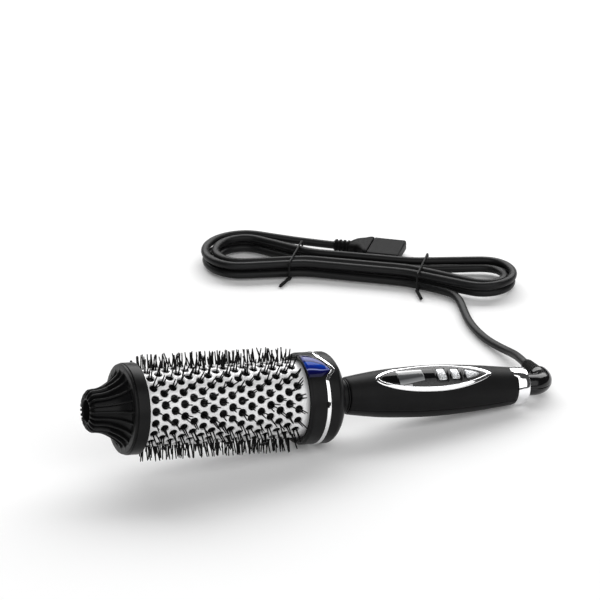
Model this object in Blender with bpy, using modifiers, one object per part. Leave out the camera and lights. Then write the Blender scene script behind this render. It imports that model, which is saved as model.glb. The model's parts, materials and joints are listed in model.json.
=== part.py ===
"""Heated round barrel brush: a perforated barrel with nylon bristles, a finned cool tip,
a collar with an indicator lens, a grip with a display and three keys, and a swivel cord.

The brush is modelled along local +X, nose hole at x = 0, panel facing local +Z. An empty
lays it on the floor: on its rearmost bristles and on the end ring, rolled a little to one
side. A second empty on the same axis carries everything that turns with the cord.
Units are metres; sizes are written in millimetres times MM.
"""
import math

import bmesh
import bpy
import numpy as np
from mathutils import Matrix, Vector

MM = 0.001
GAP = 0.3 * MM                  # clearance between pieces that touch
WELD_DISTANCE = 0.01 * MM       # points nearer than this are one point

# ---- barrel and bristles -------------------------------------------------------------
FLANGE_FRONT = 20.7 * MM        # of the cool tip's flange, which seats the barrel
FLANGE_LENGTH = 8.8 * MM
FLANGE_BACK = FLANGE_FRONT + FLANGE_LENGTH
TIP_SEAT = 4.6 * MM             # how deep the barrel sits in the cool tip
COLLAR_SEAT = 3.7 * MM          # and in the collar
BARREL_R = 22.0 * MM
BARREL_WALL = 1.2 * MM
BARREL_LENGTH = 104.4 * MM
BARREL_START = FLANGE_BACK - TIP_SEAT
BARREL_END = BARREL_START + BARREL_LENGTH
COLLAR_START = BARREL_END - COLLAR_SEAT
HOLE_R = 2.35 * MM
HOLE_SIDES = 4                  # few, because there are 320 holes; the area is the round hole's
HOLES_AROUND = 20
COLUMN_PITCH = 5.74 * MM
FIRST_COLUMN = FLANGE_BACK + 4.6 * MM
HOLE_MARGIN = 1.0 * MM          # least distance from the last hole to the collar
HOLE_COLUMNS = 1 + int((COLLAR_START - HOLE_MARGIN - HOLE_R - FIRST_COLUMN) / COLUMN_PITCH)
BRISTLE_OUT = 8.4 * MM
BRISTLE_TIP_R = BARREL_R + BRISTLE_OUT      # radius that the bristle tips reach
STRAND_R = 0.6 * MM             # at the root; a strand tapers to its tip
STRAND_OFFSET = 0.75 * MM       # from the hole's centre
STRAND_LEAN = math.radians(6.0)
STRIP_COUNT = 10
STRIP_THICK = 1.5 * MM
STRIP_START = FLANGE_BACK + 0.5 * MM
STRIP_END = COLLAR_START - 1.1 * MM
STRAND_ROOT = 0.6 * MM          # depth of a strand's root in its strip
FLAT_CUT = 0.5 * MM             # how far the bristles that carry the brush are cut flat

# ---- heater inside the barrel --------------------------------------------------------
CARRIER_WALL = 1.3 * MM
CARRIER_START = BARREL_START + 3.7 * MM
CARRIER_END = BARREL_END - 4.3 * MM
HEATER_WIDTH = 16.0 * MM
HEATER_THICK = 3.0 * MM
HEATER_START = CARRIER_START + 13.4 * MM
HEATER_END = CARRIER_END - 13.0 * MM
SHOE_WALL = 1.5 * MM
FUSE_R = 2.0 * MM
FUSE_START = HEATER_START + 28.0 * MM
FUSE_LENGTH = 12.0 * MM
THERMISTOR_R = 1.3 * MM
THERMISTOR_START = HEATER_START + 38.0 * MM
THERMISTOR_LENGTH = 7.0 * MM

# ---- cool tip ------------------------------------------------------------------------
NOSE_HOLE_R = 6.0 * MM
NOSE_HOLE_DEPTH = 15.0 * MM
NOSE_R = 12.3 * MM
FLANGE_R = BARREL_R + 3.9 * MM
FIN_COUNT = 20
FIN_THICK = 1.2 * MM
FIN_HEIGHT = 2.3 * MM
FIN_END_R = FLANGE_R - 4.5 * MM
SCREW_R = 1.8 * MM
SCREW_HEAD_R = 3.6 * MM
SCREW_HEAD = 2.4 * MM
SCREW_LENGTH = 20.0 * MM

# ---- collar --------------------------------------------------------------------------
COLLAR_WALL = 2.3 * MM
COLLAR_R = BARREL_R + COLLAR_WALL + 2.1 * MM
COLLAR_LENGTH = 26.4 * MM
COLLAR_END = COLLAR_START + COLLAR_LENGTH
# Steps back from the collar's end, and how far its dome has risen there, in mm.
DOME = ((0.0, 0.0), (0.6, 2.8), (1.8, 7.0), (3.9, 11.6), (5.8, 14.2), (7.7, 15.8))
TRIM_X = COLLAR_START + 11.4 * MM
TRIM_R = 1.0 * MM
TRIM_GAP = 1.55 * MM            # from the trim's middle to the collar's edges, along the axis
JOG_DEPTH = 5.5 * MM            # how far the trim steps back round the lens's point
JOG_NEAR = -7.2 * MM            # y of the step's one foot, of its point and of its other foot
JOG_POINT = -1.0 * MM
JOG_FAR = 9.2 * MM
LENS_FRONT = COLLAR_START + 1.8 * MM
LENS_TIP = LENS_FRONT + 12.8 * MM
LENS_HALF_WIDTH = 7.0 * MM
LENS_BULGE = 0.6 * MM
LENS_SKEW = 0.8 * MM            # y of the lens's middle at its front; at its point it is JOG_POINT
LED_SIZE = 5.0 * MM

# ---- stem, neck and grip -------------------------------------------------------------
STEM_R = 6.5 * MM
STEM_WALL = 1.4 * MM
STEM_FLANGE_R = STEM_R + 2.1 * MM
STEM_FLANGE = 2.4 * MM
NECK_WALL = 3.3 * MM
NECK_R = STEM_R + GAP + NECK_WALL
NECK_LENGTH = 4.9 * MM
GRIP_START = COLLAR_END + GAP + NECK_LENGTH + GAP
GRIP_WALL = 2.0 * MM
GRIP_FRONT_R = STEM_FLANGE_R + 2.1 * MM
# Shares of the grip's length, and how far it swells there over a plain cone, in mm.
GRIP_SWELL = ((0.0, 0.0), (0.11, 1.667), (0.23, 3.031), (0.39, 3.883), (0.51, 4.047), (0.63, 3.611),
              (0.80, 2.26), (0.92, 0.924), (1.0, 0.0))
PANEL_HALF_LENGTH = 36.7 * MM
GRIP_FRONT = 16.0 * MM          # grip before the panel, and behind it
GRIP_REAR = 16.8 * MM
PANEL_X = GRIP_START + GRIP_FRONT + PANEL_HALF_LENGTH
GRIP_END = PANEL_X + PANEL_HALF_LENGTH + GRIP_REAR
PANEL_HALF_WIDTH = 9.7 * MM
PANEL_POINT = 0.5               # how pointed its rear half is; its front half is an ellipse
BEZEL_WIDTH = 1.7 * MM
BEZEL_PROUD = 0.5 * MM
BEZEL_THICK = 1.9 * MM
PANEL_THICK = 1.6 * MM
WINDOW_SUNK = 0.2 * MM
WINDOW_NECK = PANEL_X - 24.2 * MM       # where the window narrows from the panel's full width
WINDOW_END = PANEL_X - 0.6 * MM
WINDOW_HALF_WIDTH = 5.4 * MM
# Each key's middle, counted from the panel's, its length and half its width, in mm.
KEYS = (("key_down", 4.0, 5.4, 4.2), ("key_up", 12.7, 5.4, 3.8), ("key_power", 23.7, 9.4, 3.4))
KEY_TRAVEL = 0.8 * MM
KEY_PROUD = 0.25 * MM
BOARD_START = PANEL_X - 33.2 * MM
BOARD_END = PANEL_X + 33.8 * MM
BOARD_WIDTH = 15.0 * MM
BOARD_THICK = 1.6 * MM
BOARD_Z = 5.0 * MM
POST_R = 2.2 * MM
SWITCH_SIZE = 5.0 * MM
DISPLAY_START = WINDOW_NECK
DISPLAY_END = DISPLAY_START + 18.0 * MM
DISPLAY_WIDTH = 9.5 * MM

# ---- cord swivel ---------------------------------------------------------------------
SHAFT_R = 5.0 * MM
BUSH_WALL = 3.1 * MM
BUSH_R = SHAFT_R + GAP + BUSH_WALL
BUSH_FLANGE_R = BUSH_R + 1.0 * MM
BUSH_START = GRIP_END - 9.7 * MM
BUSH_FLANGE = 2.0 * MM
SHAFT_START = BUSH_START - 7.0 * MM
RING_WALL = 2.3 * MM
RING_R = BUSH_R + GAP + RING_WALL
RING_LENGTH = 7.6 * MM
CLIP_THICK = 1.2 * MM
CLIP_R = SHAFT_R + 1.9 * MM
GROOVE_R = SHAFT_R - 1.2 * MM
ELBOW_R = SHAFT_R + 1.0 * MM
ELBOW_BEND = 10.0 * MM
ELBOW_REACH = 16.0 * MM         # from the ring's end to the outlet's axis
ELBOW_OUT = 13.0 * MM           # from the brush's axis to the outlet's face
RELIEF_R = 4.4 * MM
RELIEF_LENGTH = 16.0 * MM
RELIEF_RIBS = 4

# ---- cord ----------------------------------------------------------------------------
CORD_R = 2.5 * MM
TIE_R = 0.6 * MM
TIE_BEND = 2.4 * MM
LANE_STEP = 2 * CORD_R + 1.6 * MM           # between neighbouring turns, across the hank
LAYER_STEP = 2 * CORD_R + 0.7 * MM
INNER_HALF_WIDTH = 3.3 * MM     # innermost lane at the waist
HANK_MIDDLE = (0.1040, 0.2050)
HANK_TURN = math.radians(-35.0)
HANK_LEFT = 71.0 * MM           # centre of the left end's bend, from the hank's middle
HANK_RIGHT = 81.0 * MM
LEFT_INNER_R = 17.5 * MM
RIGHT_INNER_R = 15.0 * MM
WAIST_LEFT = 30.0 * MM
WAIST_RIGHT = 36.0 * MM
HANK_TURNS = 3.46
TURNS_IN = 1.5                  # on the lower layer
CLIMB_TURNS = 0.5
LOOP_POINTS = 24
FIRST_SHARE = 0.045             # where on its first turn the cord joins the hank
TIE_PLACES = (("cord_tie_front", 44.0 * MM), ("cord_tie_rear", -38.0 * MM))
# the lead's route between the strain relief and the hank: x, y, height in metres
LEAD_ROUTE = ((0.1412, 0.0430, 0.0078), (0.1415, 0.0530, 0.0058), (0.1402, 0.0640, 0.0042),
              (0.1385, 0.0750, 0.0034), (0.1376, 0.0860, 0.0032), (0.1379, 0.0980, 0.0032),
              (0.1394, 0.1100, 0.0032), (0.1422, 0.1215, 0.0032), (0.1450, 0.1320, 0.0034),
              (0.1466, 0.1405, 0.0037), (0.1465, 0.1475, 0.0039))
# the tail's route from the hank to the plug, in the hank's own frame
TAIL_ROUTE = ((-0.0540, 0.0262, 0.0088), (-0.0450, 0.0282, 0.0073), (-0.0360, 0.0296, 0.0064))
PLUG_PLACE = (-20.0 * MM, 30.0 * MM, 5.8 * MM)
PLUG_TURN = math.radians(-1.5)
PLUG_RELIEF = 11.0 * MM
PLUG_LENGTH = 13.0 * MM
PLUG_WIDTH = 15.0 * MM
PLUG_THICK = 10.6 * MM
PLUG_FLARE = 5.0 * MM           # how much wider the body is at its face, each side
PLUG_RELIEF_R = 4.0 * MM
PIN_SOCKET = 3.0 * MM           # depth of the pins' seats in the body
PIN_R = 2.0 * MM
PIN_LENGTH = 19.0 * MM
PIN_SPACING = 9.3 * MM          # half the distance between the pins' axes
COVER_WALL = 1.0 * MM           # of the cover that protects the pins
COVER_END = 1.5 * MM

# ---- how the brush lies --------------------------------------------------------------
ROLL = math.radians(26.0)
MIDDLE_SHIFT = 145.3 * MM       # nose hole to the middle of the resting length
RING_END = GRIP_END + GAP + RING_LENGTH
LAST_COLUMN = FIRST_COLUMN + (HOLE_COLUMNS - 1) * COLUMN_PITCH
ROW_STEP = 2 * math.pi / HOLES_AROUND
CARRIED_R = BRISTLE_TIP_R * math.cos(ROW_STEP / 2)
TILT = math.atan((CARRIED_R - FLAT_CUT - RING_R) / (RING_END - LAST_COLUMN))
NOSE_HEIGHT = RING_END * math.sin(TILT) + RING_R * math.cos(TILT)

FACETS = 24                     # of a turned piece that shows
HIDDEN_FACETS = 12
TUBE_FACETS = 20
BARREL_FACETS = 2 * HOLES_AROUND


# ---- building blocks -----------------------------------------------------------------
def material(name, colour, roughness, metallic=0.0, transmission=0.0):
    """A Principled material with the given look."""
    made = bpy.data.materials.new(name)
    made.use_nodes = True
    shader = made.node_tree.nodes["Principled BSDF"]
    shader.inputs["Base Color"].default_value = (*colour, 1.0)
    shader.inputs["Roughness"].default_value = roughness
    shader.inputs["Metallic"].default_value = metallic
    shader.inputs["Transmission Weight"].default_value = transmission
    return made


def place(name, data, parent, look, collection):
    """An object for the given data, hung under its parent empty."""
    made = bpy.data.objects.new(name, data)
    made.parent = parent
    collection.objects.link(made)
    if look:
        data.materials.append(look)
    return made


def cutter(name, mesh):
    """A mesh that only cuts or joins: drawn as a wire and left out of renders."""
    made = place(name, mesh, BRUSH, None, CUTTERS)
    made.hide_render = True
    made.display_type = "WIRE"
    return made


def boolean(target, tool, operation="DIFFERENCE"):
    """Cuts, joins or crosses the target with a tool object."""
    step = target.modifiers.new(f"{operation.lower()} {tool.name}", "BOOLEAN")
    step.operation = operation
    step.object = tool
    step.solver = "EXACT"


def smooth(mesh, angle=40.0):
    """Smooth shading with the sharp edges kept."""
    mesh.shade_smooth()
    mesh.set_sharp_from_angle(angle=math.radians(angle))
    return mesh


def evaluated_mesh(name, made):
    """The object's mesh with its modifiers applied; the object itself is removed."""
    bpy.context.view_layer.update()
    graph = bpy.context.evaluated_depsgraph_get()
    mesh = bpy.data.meshes.new_from_object(made.evaluated_get(graph))
    mesh.name = name
    old = made.data
    bpy.data.objects.remove(made)
    if isinstance(old, bpy.types.Curve):
        bpy.data.curves.remove(old)
        weld(mesh)
    return mesh


def weld(mesh, distance=WELD_DISTANCE):
    """Joins the mesh's doubled points, such as those of a curve's caps, and turns its
    faces outwards."""
    shape = bmesh.new()
    shape.from_mesh(mesh)
    bmesh.ops.remove_doubles(shape, verts=shape.verts, dist=distance)
    bmesh.ops.recalc_face_normals(shape, faces=shape.faces)
    shape.to_mesh(mesh)
    shape.free()


def turned_mesh(name, profile, steps=FACETS, closed=True):
    """A profile of (x, radius) points turned about the X axis. The points run along the
    outer side from the rear to the front, then back inside."""
    mesh = bpy.data.meshes.new(name)
    points = [(radius, 0.0, x) for x, radius in profile]
    count = len(points)
    edges = [(i, (i + 1) % count) for i in range(count if closed else count - 1)]
    mesh.from_pydata(points, edges, [])
    made = bpy.data.objects.new(name, mesh)
    CUTTERS.objects.link(made)
    screw = made.modifiers.new("turn", "SCREW")
    screw.axis = "Z"
    screw.steps = steps
    screw.render_steps = steps
    screw.use_merge_vertices = True
    screw.merge_threshold = 0.000001
    screw.use_normal_calculate = False
    turned = evaluated_mesh(name, made)
    bpy.data.meshes.remove(mesh)
    turned.transform(Matrix.Rotation(math.pi / 2, 4, "Y"))
    return smooth(turned)


def turned(name, profile, look, parent=None, steps=FACETS, closed=True):
    """A turned piece on the brush's axis."""
    return place(name, turned_mesh(name, profile, steps, closed), parent or BRUSH, look, PARTS)


def raised_mesh(name, outlines, low, high):
    """Flat outlines in the XY plane raised from z = low to high; a second outline is a hole."""
    curve = bpy.data.curves.new(name, "CURVE")
    curve.dimensions = "2D"
    curve.fill_mode = "BOTH"
    curve.extrude = (high - low) / 2
    for outline in outlines:
        spline = curve.splines.new("POLY")
        spline.points.add(len(outline) - 1)
        for point, (x, y) in zip(spline.points, outline):
            point.co = (x, y, 0.0, 1.0)
        spline.use_cyclic_u = True
    made = bpy.data.objects.new(name, curve)
    CUTTERS.objects.link(made)
    mesh = evaluated_mesh(name, made)
    mesh.transform(Matrix.Translation((0.0, 0.0, (low + high) / 2)))
    return mesh


def box_mesh(name, low, high):
    """A box between two corners."""
    mesh = bpy.data.meshes.new(name)
    shape = bmesh.new()
    bmesh.ops.create_cube(shape, size=1.0)
    low, high = Vector(low), Vector(high)
    size = high - low
    bmesh.ops.scale(shape, vec=size, verts=shape.verts)
    bmesh.ops.translate(shape, vec=(low + high) / 2, verts=shape.verts)
    shape.to_mesh(mesh)
    shape.free()
    return mesh


def rod_mesh(name, start, end, radius, sides=12):
    """A round rod between two points."""
    mesh = bpy.data.meshes.new(name)
    shape = bmesh.new()
    add_rod(shape, Vector(start), Vector(end), radius, radius, sides)
    shape.to_mesh(mesh)
    shape.free()
    return smooth(mesh)


def add_rod(shape, start, end, radius, end_radius, sides):
    """Adds a rod or a taper between two points, with one corner turned towards +X."""
    along = end - start
    axis = along.normalized()
    first = (Vector((1, 0, 0)) - axis * axis.x).normalized() if abs(axis.x) < 0.9 else Vector((0, 0, 1))
    turn = Matrix((first.cross(axis), first, axis)).transposed().to_4x4()
    matrix = Matrix.Translation((start + end) / 2) @ turn
    bmesh.ops.create_cone(shape, cap_ends=True, segments=sides, radius1=radius,
                          radius2=end_radius, depth=along.length, matrix=matrix)


def tube_curve(name, points, radius, sides_level=2, cyclic=False, radii=None):
    """A tube along a poly line with flat caps; radii scale its points."""
    curve = bpy.data.curves.new(name, "CURVE")
    curve.dimensions = "3D"
    curve.bevel_depth = radius
    curve.bevel_resolution = sides_level
    curve.use_fill_caps = not cyclic
    spline = curve.splines.new("POLY")
    spline.points.add(len(points) - 1)
    for index, (point, co) in enumerate(zip(spline.points, points)):
        point.co = (*co, 1.0)
        point.radius = radii[index] if radii else 1.0
    spline.use_cyclic_u = cyclic
    spline.use_smooth = True
    return curve


def oval(half_length, half_width, point_share, count=18):
    """An oval round the origin, its half towards -X an ellipse. For the other half,
    point_share 0 gives an ellipse too, and 1 a sharp tip."""
    outline = []
    for index in range(count):
        angle = 2 * math.pi * index / count
        x = math.cos(angle)
        round_y = math.sin(angle)
        sharp_y = math.copysign(1 - x * x, math.sin(angle)) if abs(x) < 1 else 0.0
        share = point_share if x > 0 else 0.0
        y = (1 - share) * round_y + share * sharp_y
        outline.append((half_length * x, half_width * y))
    return outline


def shifted(outline, x):
    """The outline moved along X."""
    return [(px + x, py) for px, py in outline]


def around(angle, radius, x):
    """A point at the given angle from local +Z towards +Y."""
    return Vector((x, radius * math.sin(angle), radius * math.cos(angle)))


# ---- cool tip ------------------------------------------------------------------------
def trumpet(drop):
    """The nose's outer line from flange to front, lowered by drop towards the axis."""
    flare = [(FLANGE_FRONT - 0.6 * MM, FIN_END_R), (FLANGE_FRONT - 3.7 * MM, NOSE_R + 5.3 * MM),
             (FLANGE_FRONT - 9.7 * MM, NOSE_R + 1.2 * MM), (2.6 * MM, NOSE_R)]
    return [(x, radius - drop) for x, radius in flare]


def make_cool_tip():
    """The black end cap: a flange that seats the barrel, and a trumpet-shaped nose with
    thin lengthwise fins round a central hole."""
    seat_r = (BARREL_R + GAP) / math.cos(math.pi / FIN_COUNT)
    seat_x = BARREL_START - GAP
    hub_r = 7.0 * MM
    hub_end = CARRIER_START - 1.6 * MM
    profile = [(FLANGE_BACK, seat_r), (FLANGE_BACK, FLANGE_R - 0.5 * MM),
               (FLANGE_BACK - 0.6 * MM, FLANGE_R), (FLANGE_FRONT + 1.4 * MM, FLANGE_R),
               (FLANGE_FRONT + 0.4 * MM, FLANGE_R - 0.5 * MM), (FLANGE_FRONT, FLANGE_R - 1.5 * MM),
               (FLANGE_FRONT, FIN_END_R - FIN_HEIGHT + 0.8 * MM)]
    profile += trumpet(FIN_HEIGHT)[1:]
    profile += [(1.4 * MM, NOSE_R - FIN_HEIGHT - 0.8 * MM), (1.0 * MM, NOSE_HOLE_R + 1.2 * MM),
                (1.0 * MM, NOSE_HOLE_R), (NOSE_HOLE_DEPTH, NOSE_HOLE_R),
                (NOSE_HOLE_DEPTH, SCREW_R + GAP), (hub_end, SCREW_R + GAP), (hub_end, hub_r),
                (FLANGE_FRONT + 2.2 * MM, hub_r), (FLANGE_FRONT + 2.2 * MM, seat_r - 4.0 * MM),
                (seat_x, seat_r - 3.0 * MM), (seat_x, seat_r)]
    tip = turned("cool_tip", profile, BLACK, steps=FIN_COUNT)
    line = trumpet(0.0)
    outline = [(FLANGE_FRONT + 0.3 * MM, FIN_END_R)] + line
    outline += [(0.5 * MM, NOSE_R - 1.8 * MM), (0.0, NOSE_HOLE_R + 1.0 * MM),
                (1.6 * MM, NOSE_HOLE_R + 0.5 * MM), (13.0 * MM, NOSE_R - FIN_HEIGHT - 1.0 * MM),
                (FLANGE_FRONT + 0.3 * MM, FIN_END_R - FIN_HEIGHT)]
    fin = raised_mesh("fin", [outline], -FIN_THICK / 2, FIN_THICK / 2)
    shape = bmesh.new()
    for index in range(FIN_COUNT):
        copy = fin.copy()
        copy.transform(Matrix.Rotation(2 * math.pi * (index + 0.5) / FIN_COUNT, 4, "X"))
        shape.from_mesh(copy)
        bpy.data.meshes.remove(copy)
    fins = bpy.data.meshes.new("cool_tip_fins")
    shape.to_mesh(fins)
    shape.free()
    boolean(tip, cutter("cool_tip_fins", fins), "UNION")


def make_tip_screw():
    """The screw in the nose hole that draws the tip onto the heater's front plate."""
    head_end = NOSE_HOLE_DEPTH - GAP
    head_start = head_end - SCREW_HEAD
    profile = [(head_start + SCREW_LENGTH, 0.0), (head_start + SCREW_LENGTH, SCREW_R - 0.4 * MM),
               (head_start + SCREW_LENGTH - 1.0 * MM, SCREW_R), (head_end, SCREW_R),
               (head_end, SCREW_HEAD_R), (head_start + 0.6 * MM, SCREW_HEAD_R),
               (head_start, SCREW_HEAD_R - 0.8 * MM), (head_start, 0.0)]
    turned("tip_screw", profile, STEEL, steps=HIDDEN_FACETS, closed=False)


# ---- barrel and bristles -------------------------------------------------------------
def hole_angle(column, row):
    """Where a hole sits round the barrel; neighbouring columns are staggered."""
    rearmost = (HOLE_COLUMNS - 1 - column) % 2 == 0
    bottom = math.pi + ROLL
    return bottom + (row + (0.5 if rearmost else 0.0)) * ROW_STEP


def holes():
    """Every hole's column, row, angle and place along the axis."""
    for column in range(HOLE_COLUMNS):
        for row in range(HOLES_AROUND):
            yield column, row, hole_angle(column, row), FIRST_COLUMN + column * COLUMN_PITCH


def rolled(mesh, radius, first_angle):
    """Rolls a flat sheet about the X axis: its y becomes an arc at the given radius, and
    its z lies outwards."""
    for vertex in mesh.vertices:
        x, y, z = vertex.co
        vertex.co = around(first_angle + y / radius, radius + z, x)
    return mesh


def seam_line(pitch):
    """The sheet's long edge: it steps sideways by half a pitch from column to column, so
    that it always runs midway between two holes."""
    line = [(BARREL_START, 0.0)]
    for column in range(HOLE_COLUMNS):
        line.append((FIRST_COLUMN + column * COLUMN_PITCH, 0.0 if column % 2 == 0 else pitch / 2))
    line.append((BARREL_END, line[-1][1]))
    return line


def open_seam(mesh, line, width):
    """Takes away the walls at the sheet's two long edges, so that the edges can be joined
    to each other. The second edge is the first one moved by the width."""
    xs, ys = zip(*line)
    shape = bmesh.new()
    shape.from_mesh(mesh)
    walls = []
    for face in shape.faces:
        off = [corner.co.y - np.interp(corner.co.x, xs, ys) for corner in face.verts]
        on_edge = any(all(abs(y - edge) < WELD_DISTANCE for y in off) for edge in (0.0, width))
        if on_edge and abs(face.normal.z) < 0.5:
            walls.append(face)
    bmesh.ops.delete(shape, geom=walls, context="FACES")
    shape.to_mesh(mesh)
    shape.free()


def make_barrel():
    """The metal sleeve: a sheet punched with staggered holes, rolled up and joined."""
    around_length = 2 * math.pi * BARREL_R
    pitch = around_length / HOLES_AROUND
    sector = 2 * math.pi / HOLE_SIDES
    corner_r = HOLE_R * math.sqrt(sector / math.sin(sector))
    seam = seam_line(pitch)
    rear_y = seam[-1][1]
    front_edge = [(BARREL_START, pitch / 2 * step) for step in range(1, BARREL_FACETS)]
    rear_edge = [(BARREL_END, rear_y + pitch / 2 * step) for step in range(1, BARREL_FACETS)]
    far_side = [(x, y + around_length) for x, y in seam]
    outlines = [front_edge + far_side + rear_edge[::-1] + seam[::-1]]
    first = hole_angle(0, 0) - ROW_STEP / 2
    for column, row, angle, x in holes():
        y = ((angle - first) % (2 * math.pi)) * BARREL_R
        if y < seam[column + 1][1]:
            y += around_length
        outlines.append([(x + corner_r * math.cos(sector * side), y + corner_r * math.sin(sector * side))
                         for side in range(HOLE_SIDES)])
    sheet = raised_mesh("barrel", outlines, -BARREL_WALL, 0.0)
    open_seam(sheet, seam, around_length)
    weld(rolled(sheet, BARREL_R, first))
    place("barrel", smooth(sheet), BRUSH, METAL, PARTS)


def strip_mesh():
    """One carrier strip with its strands, centred on angle 0."""
    outer = BARREL_R - BARREL_WALL - GAP
    span = 2 * math.pi / STRIP_COUNT - math.radians(1.6)
    steps = 4
    mesh = bpy.data.meshes.new("strip_sheet")
    middle_r = outer - STRIP_THICK / 2
    mesh.from_pydata([(middle_r, 0.0, STRIP_END), (middle_r, 0.0, STRIP_START)], [(0, 1)], [])
    sheet = bpy.data.objects.new("strip_sheet", mesh)
    CUTTERS.objects.link(sheet)
    screw = sheet.modifiers.new("turn", "SCREW")
    screw.axis = "Z"
    screw.angle = span
    screw.steps = steps
    screw.render_steps = steps
    screw.use_normal_calculate = False
    thick = sheet.modifiers.new("thick", "SOLIDIFY")
    thick.thickness = STRIP_THICK
    thick.offset = 0.0
    slab = evaluated_mesh("strip_slab", sheet)
    slab.transform(Matrix.Rotation(math.pi / 2, 4, "Y"))
    slab.transform(Matrix.Rotation(math.pi - span / 2, 4, "X"))
    return slab


def make_bristle_strips():
    """Ten carrier strips that lie inside the barrel, their strands standing out through
    its holes. The strips that reach the floor are cut flat there."""
    outer = BARREL_R - BARREL_WALL - GAP
    strip_step = 2 * math.pi / STRIP_COUNT
    first = math.pi + ROLL + ROW_STEP / 4
    depth = (BARREL_R + BRISTLE_TIP_R) * 2
    floor_mesh = box_mesh("floor", (-depth, -depth, -depth), (depth * 4, depth, 0.0))
    floor = place("floor", floor_mesh, None, None, CUTTERS)
    floor.location.x = -MIDDLE_SHIFT
    floor.hide_render = True
    floor.display_type = "WIRE"
    pattern = {}
    for strip in range(STRIP_COUNT):
        middle = first + strip * strip_step
        strands = []
        for column, row, angle, x in holes():
            away = (angle - middle + math.pi) % (2 * math.pi) - math.pi
            if abs(away) < strip_step / 2:
                strands.append((round(away, 5), x, -1 if column // 2 % 2 else 1))
        key = tuple(strands)
        if key not in pattern:
            pattern[key] = bristle_mesh(strands, outer)
        made = place(f"bristle_strip_{strip + 1:02d}", pattern[key], BRUSH, None, PARTS)
        made.rotation_euler.x = -middle
        if not pattern[key].materials:
            pattern[key].materials.append(NYLON)
        bpy.context.view_layer.update()
        lowest = min((made.matrix_world @ Vector(corner)).z for corner in made.bound_box)
        if lowest < 0.0:
            boolean(made, floor)


def bristle_mesh(strands, outer):
    """A strip fused with its strands, each a slim three-sided taper."""
    slab = bpy.data.objects.new("strip", strip_mesh())
    CUTTERS.objects.link(slab)
    shape = bmesh.new()
    for away, x, side in strands:
        root = around(away, outer - STRAND_ROOT, x + side * STRAND_OFFSET)
        reach = (BRISTLE_TIP_R - outer) * math.tan(STRAND_LEAN)
        tip = around(away, BRISTLE_TIP_R, x + side * (STRAND_OFFSET + reach))
        add_rod(shape, root, tip, STRAND_R, 0.0, 3)
    mesh = bpy.data.meshes.new("strands")
    shape.to_mesh(mesh)
    shape.free()
    tool = bpy.data.objects.new("strands", mesh)
    CUTTERS.objects.link(tool)
    boolean(slab, tool, "UNION")
    made = evaluated_mesh("bristle_strip", slab)
    bpy.data.objects.remove(tool)
    return made


# ---- heater --------------------------------------------------------------------------
def make_heater():
    """The carrier tube under the strips, the ceramic heater between two clamping shoes,
    the thermal fuse and thermistor, and the plates that close the carrier's ends."""
    carrier_r = BARREL_R - BARREL_WALL - GAP - STRIP_THICK - GAP
    bore = carrier_r - CARRIER_WALL
    fit_r = bore * math.cos(math.pi / TUBE_FACETS) - GAP
    turned("heater_tube", [(CARRIER_END, bore), (CARRIER_END, carrier_r),
                           (CARRIER_START, carrier_r), (CARRIER_START, bore)], ALUMINIUM,
           steps=TUBE_FACETS)
    end = HEATER_END
    place("ptc_heater", box_mesh("ptc_heater", (HEATER_START, -HEATER_WIDTH / 2, -HEATER_THICK / 2),
                                 (end, HEATER_WIDTH / 2, HEATER_THICK / 2)), BRUSH, CERAMIC, PARTS)
    flat = HEATER_THICK / 2 + GAP
    for name, side in (("heater_shoe_upper", 1), ("heater_shoe_lower", -1)):
        outlines = [shoe_outline(fit_r, flat), shoe_outline(fit_r - SHOE_WALL, flat + SHOE_WALL)]
        mesh = raised_mesh(name, outlines, HEATER_START, end)
        mesh.transform(Matrix.Rotation(math.pi / 2, 4, "Y") @ Matrix.Rotation(math.pi / 2, 4, "Z"))
        if side < 0:
            mesh.transform(Matrix.Rotation(math.pi, 4, "X"))
        place(name, smooth(mesh), BRUSH, ALUMINIUM, PARTS)
    fuse_z = flat + SHOE_WALL + GAP + FUSE_R
    fuse = rod_mesh("thermal_fuse", (FUSE_START, 0, fuse_z), (FUSE_START + FUSE_LENGTH, 0, fuse_z), FUSE_R)
    place("thermal_fuse", fuse, BRUSH, STEEL, PARTS)
    bead_z = -(flat + SHOE_WALL + GAP + THERMISTOR_R)
    bead_end = THERMISTOR_START + THERMISTOR_LENGTH
    bead = rod_mesh("thermistor", (THERMISTOR_START, 0, bead_z), (bead_end, 0, bead_z), THERMISTOR_R)
    place("thermistor", bead, BRUSH, CERAMIC, PARTS)
    boss_r = 4.6 * MM
    front = CARRIER_START
    boss_end = front + 10.0 * MM
    bore_r = SCREW_R + GAP
    turned("front_plate", [(boss_end, bore_r), (boss_end, boss_r), (front + 2.4 * MM, boss_r),
                           (front + 2.4 * MM, fit_r), (front, fit_r), (front, bore_r)], BLACK,
           steps=HIDDEN_FACETS)
    make_stem(fit_r)


def shoe_outline(radius, flat, count=10):
    """A half round with its flat side at the given height, in the XY plane."""
    low = math.asin(flat / radius)
    angles = [low + (math.pi - 2 * low) * i / count for i in range(count + 1)]
    return [(radius * math.cos(a), radius * math.sin(a)) for a in angles]


def make_stem(fit_r):
    """The hollow stem that carries the heater: a plate in the carrier's rear end, and a
    tube that runs through the collar into the grip, where a flange is clamped."""
    bore = STEM_R - STEM_WALL
    plate_end = CARRIER_END - 0.5 * MM
    plate_start = plate_end - 3.0 * MM
    flange_start = GRIP_START + GRIP_WALL + GAP
    end = flange_start + STEM_FLANGE + 4.0 * MM
    profile = [(end, bore), (end, STEM_R), (flange_start + STEM_FLANGE, STEM_R),
               (flange_start + STEM_FLANGE, STEM_FLANGE_R), (flange_start, STEM_FLANGE_R),
               (flange_start, STEM_R), (plate_end, STEM_R), (plate_end, fit_r),
               (plate_start, fit_r), (plate_start, bore)]
    turned("heater_stem", profile, BLACK, steps=HIDDEN_FACETS)


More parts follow.
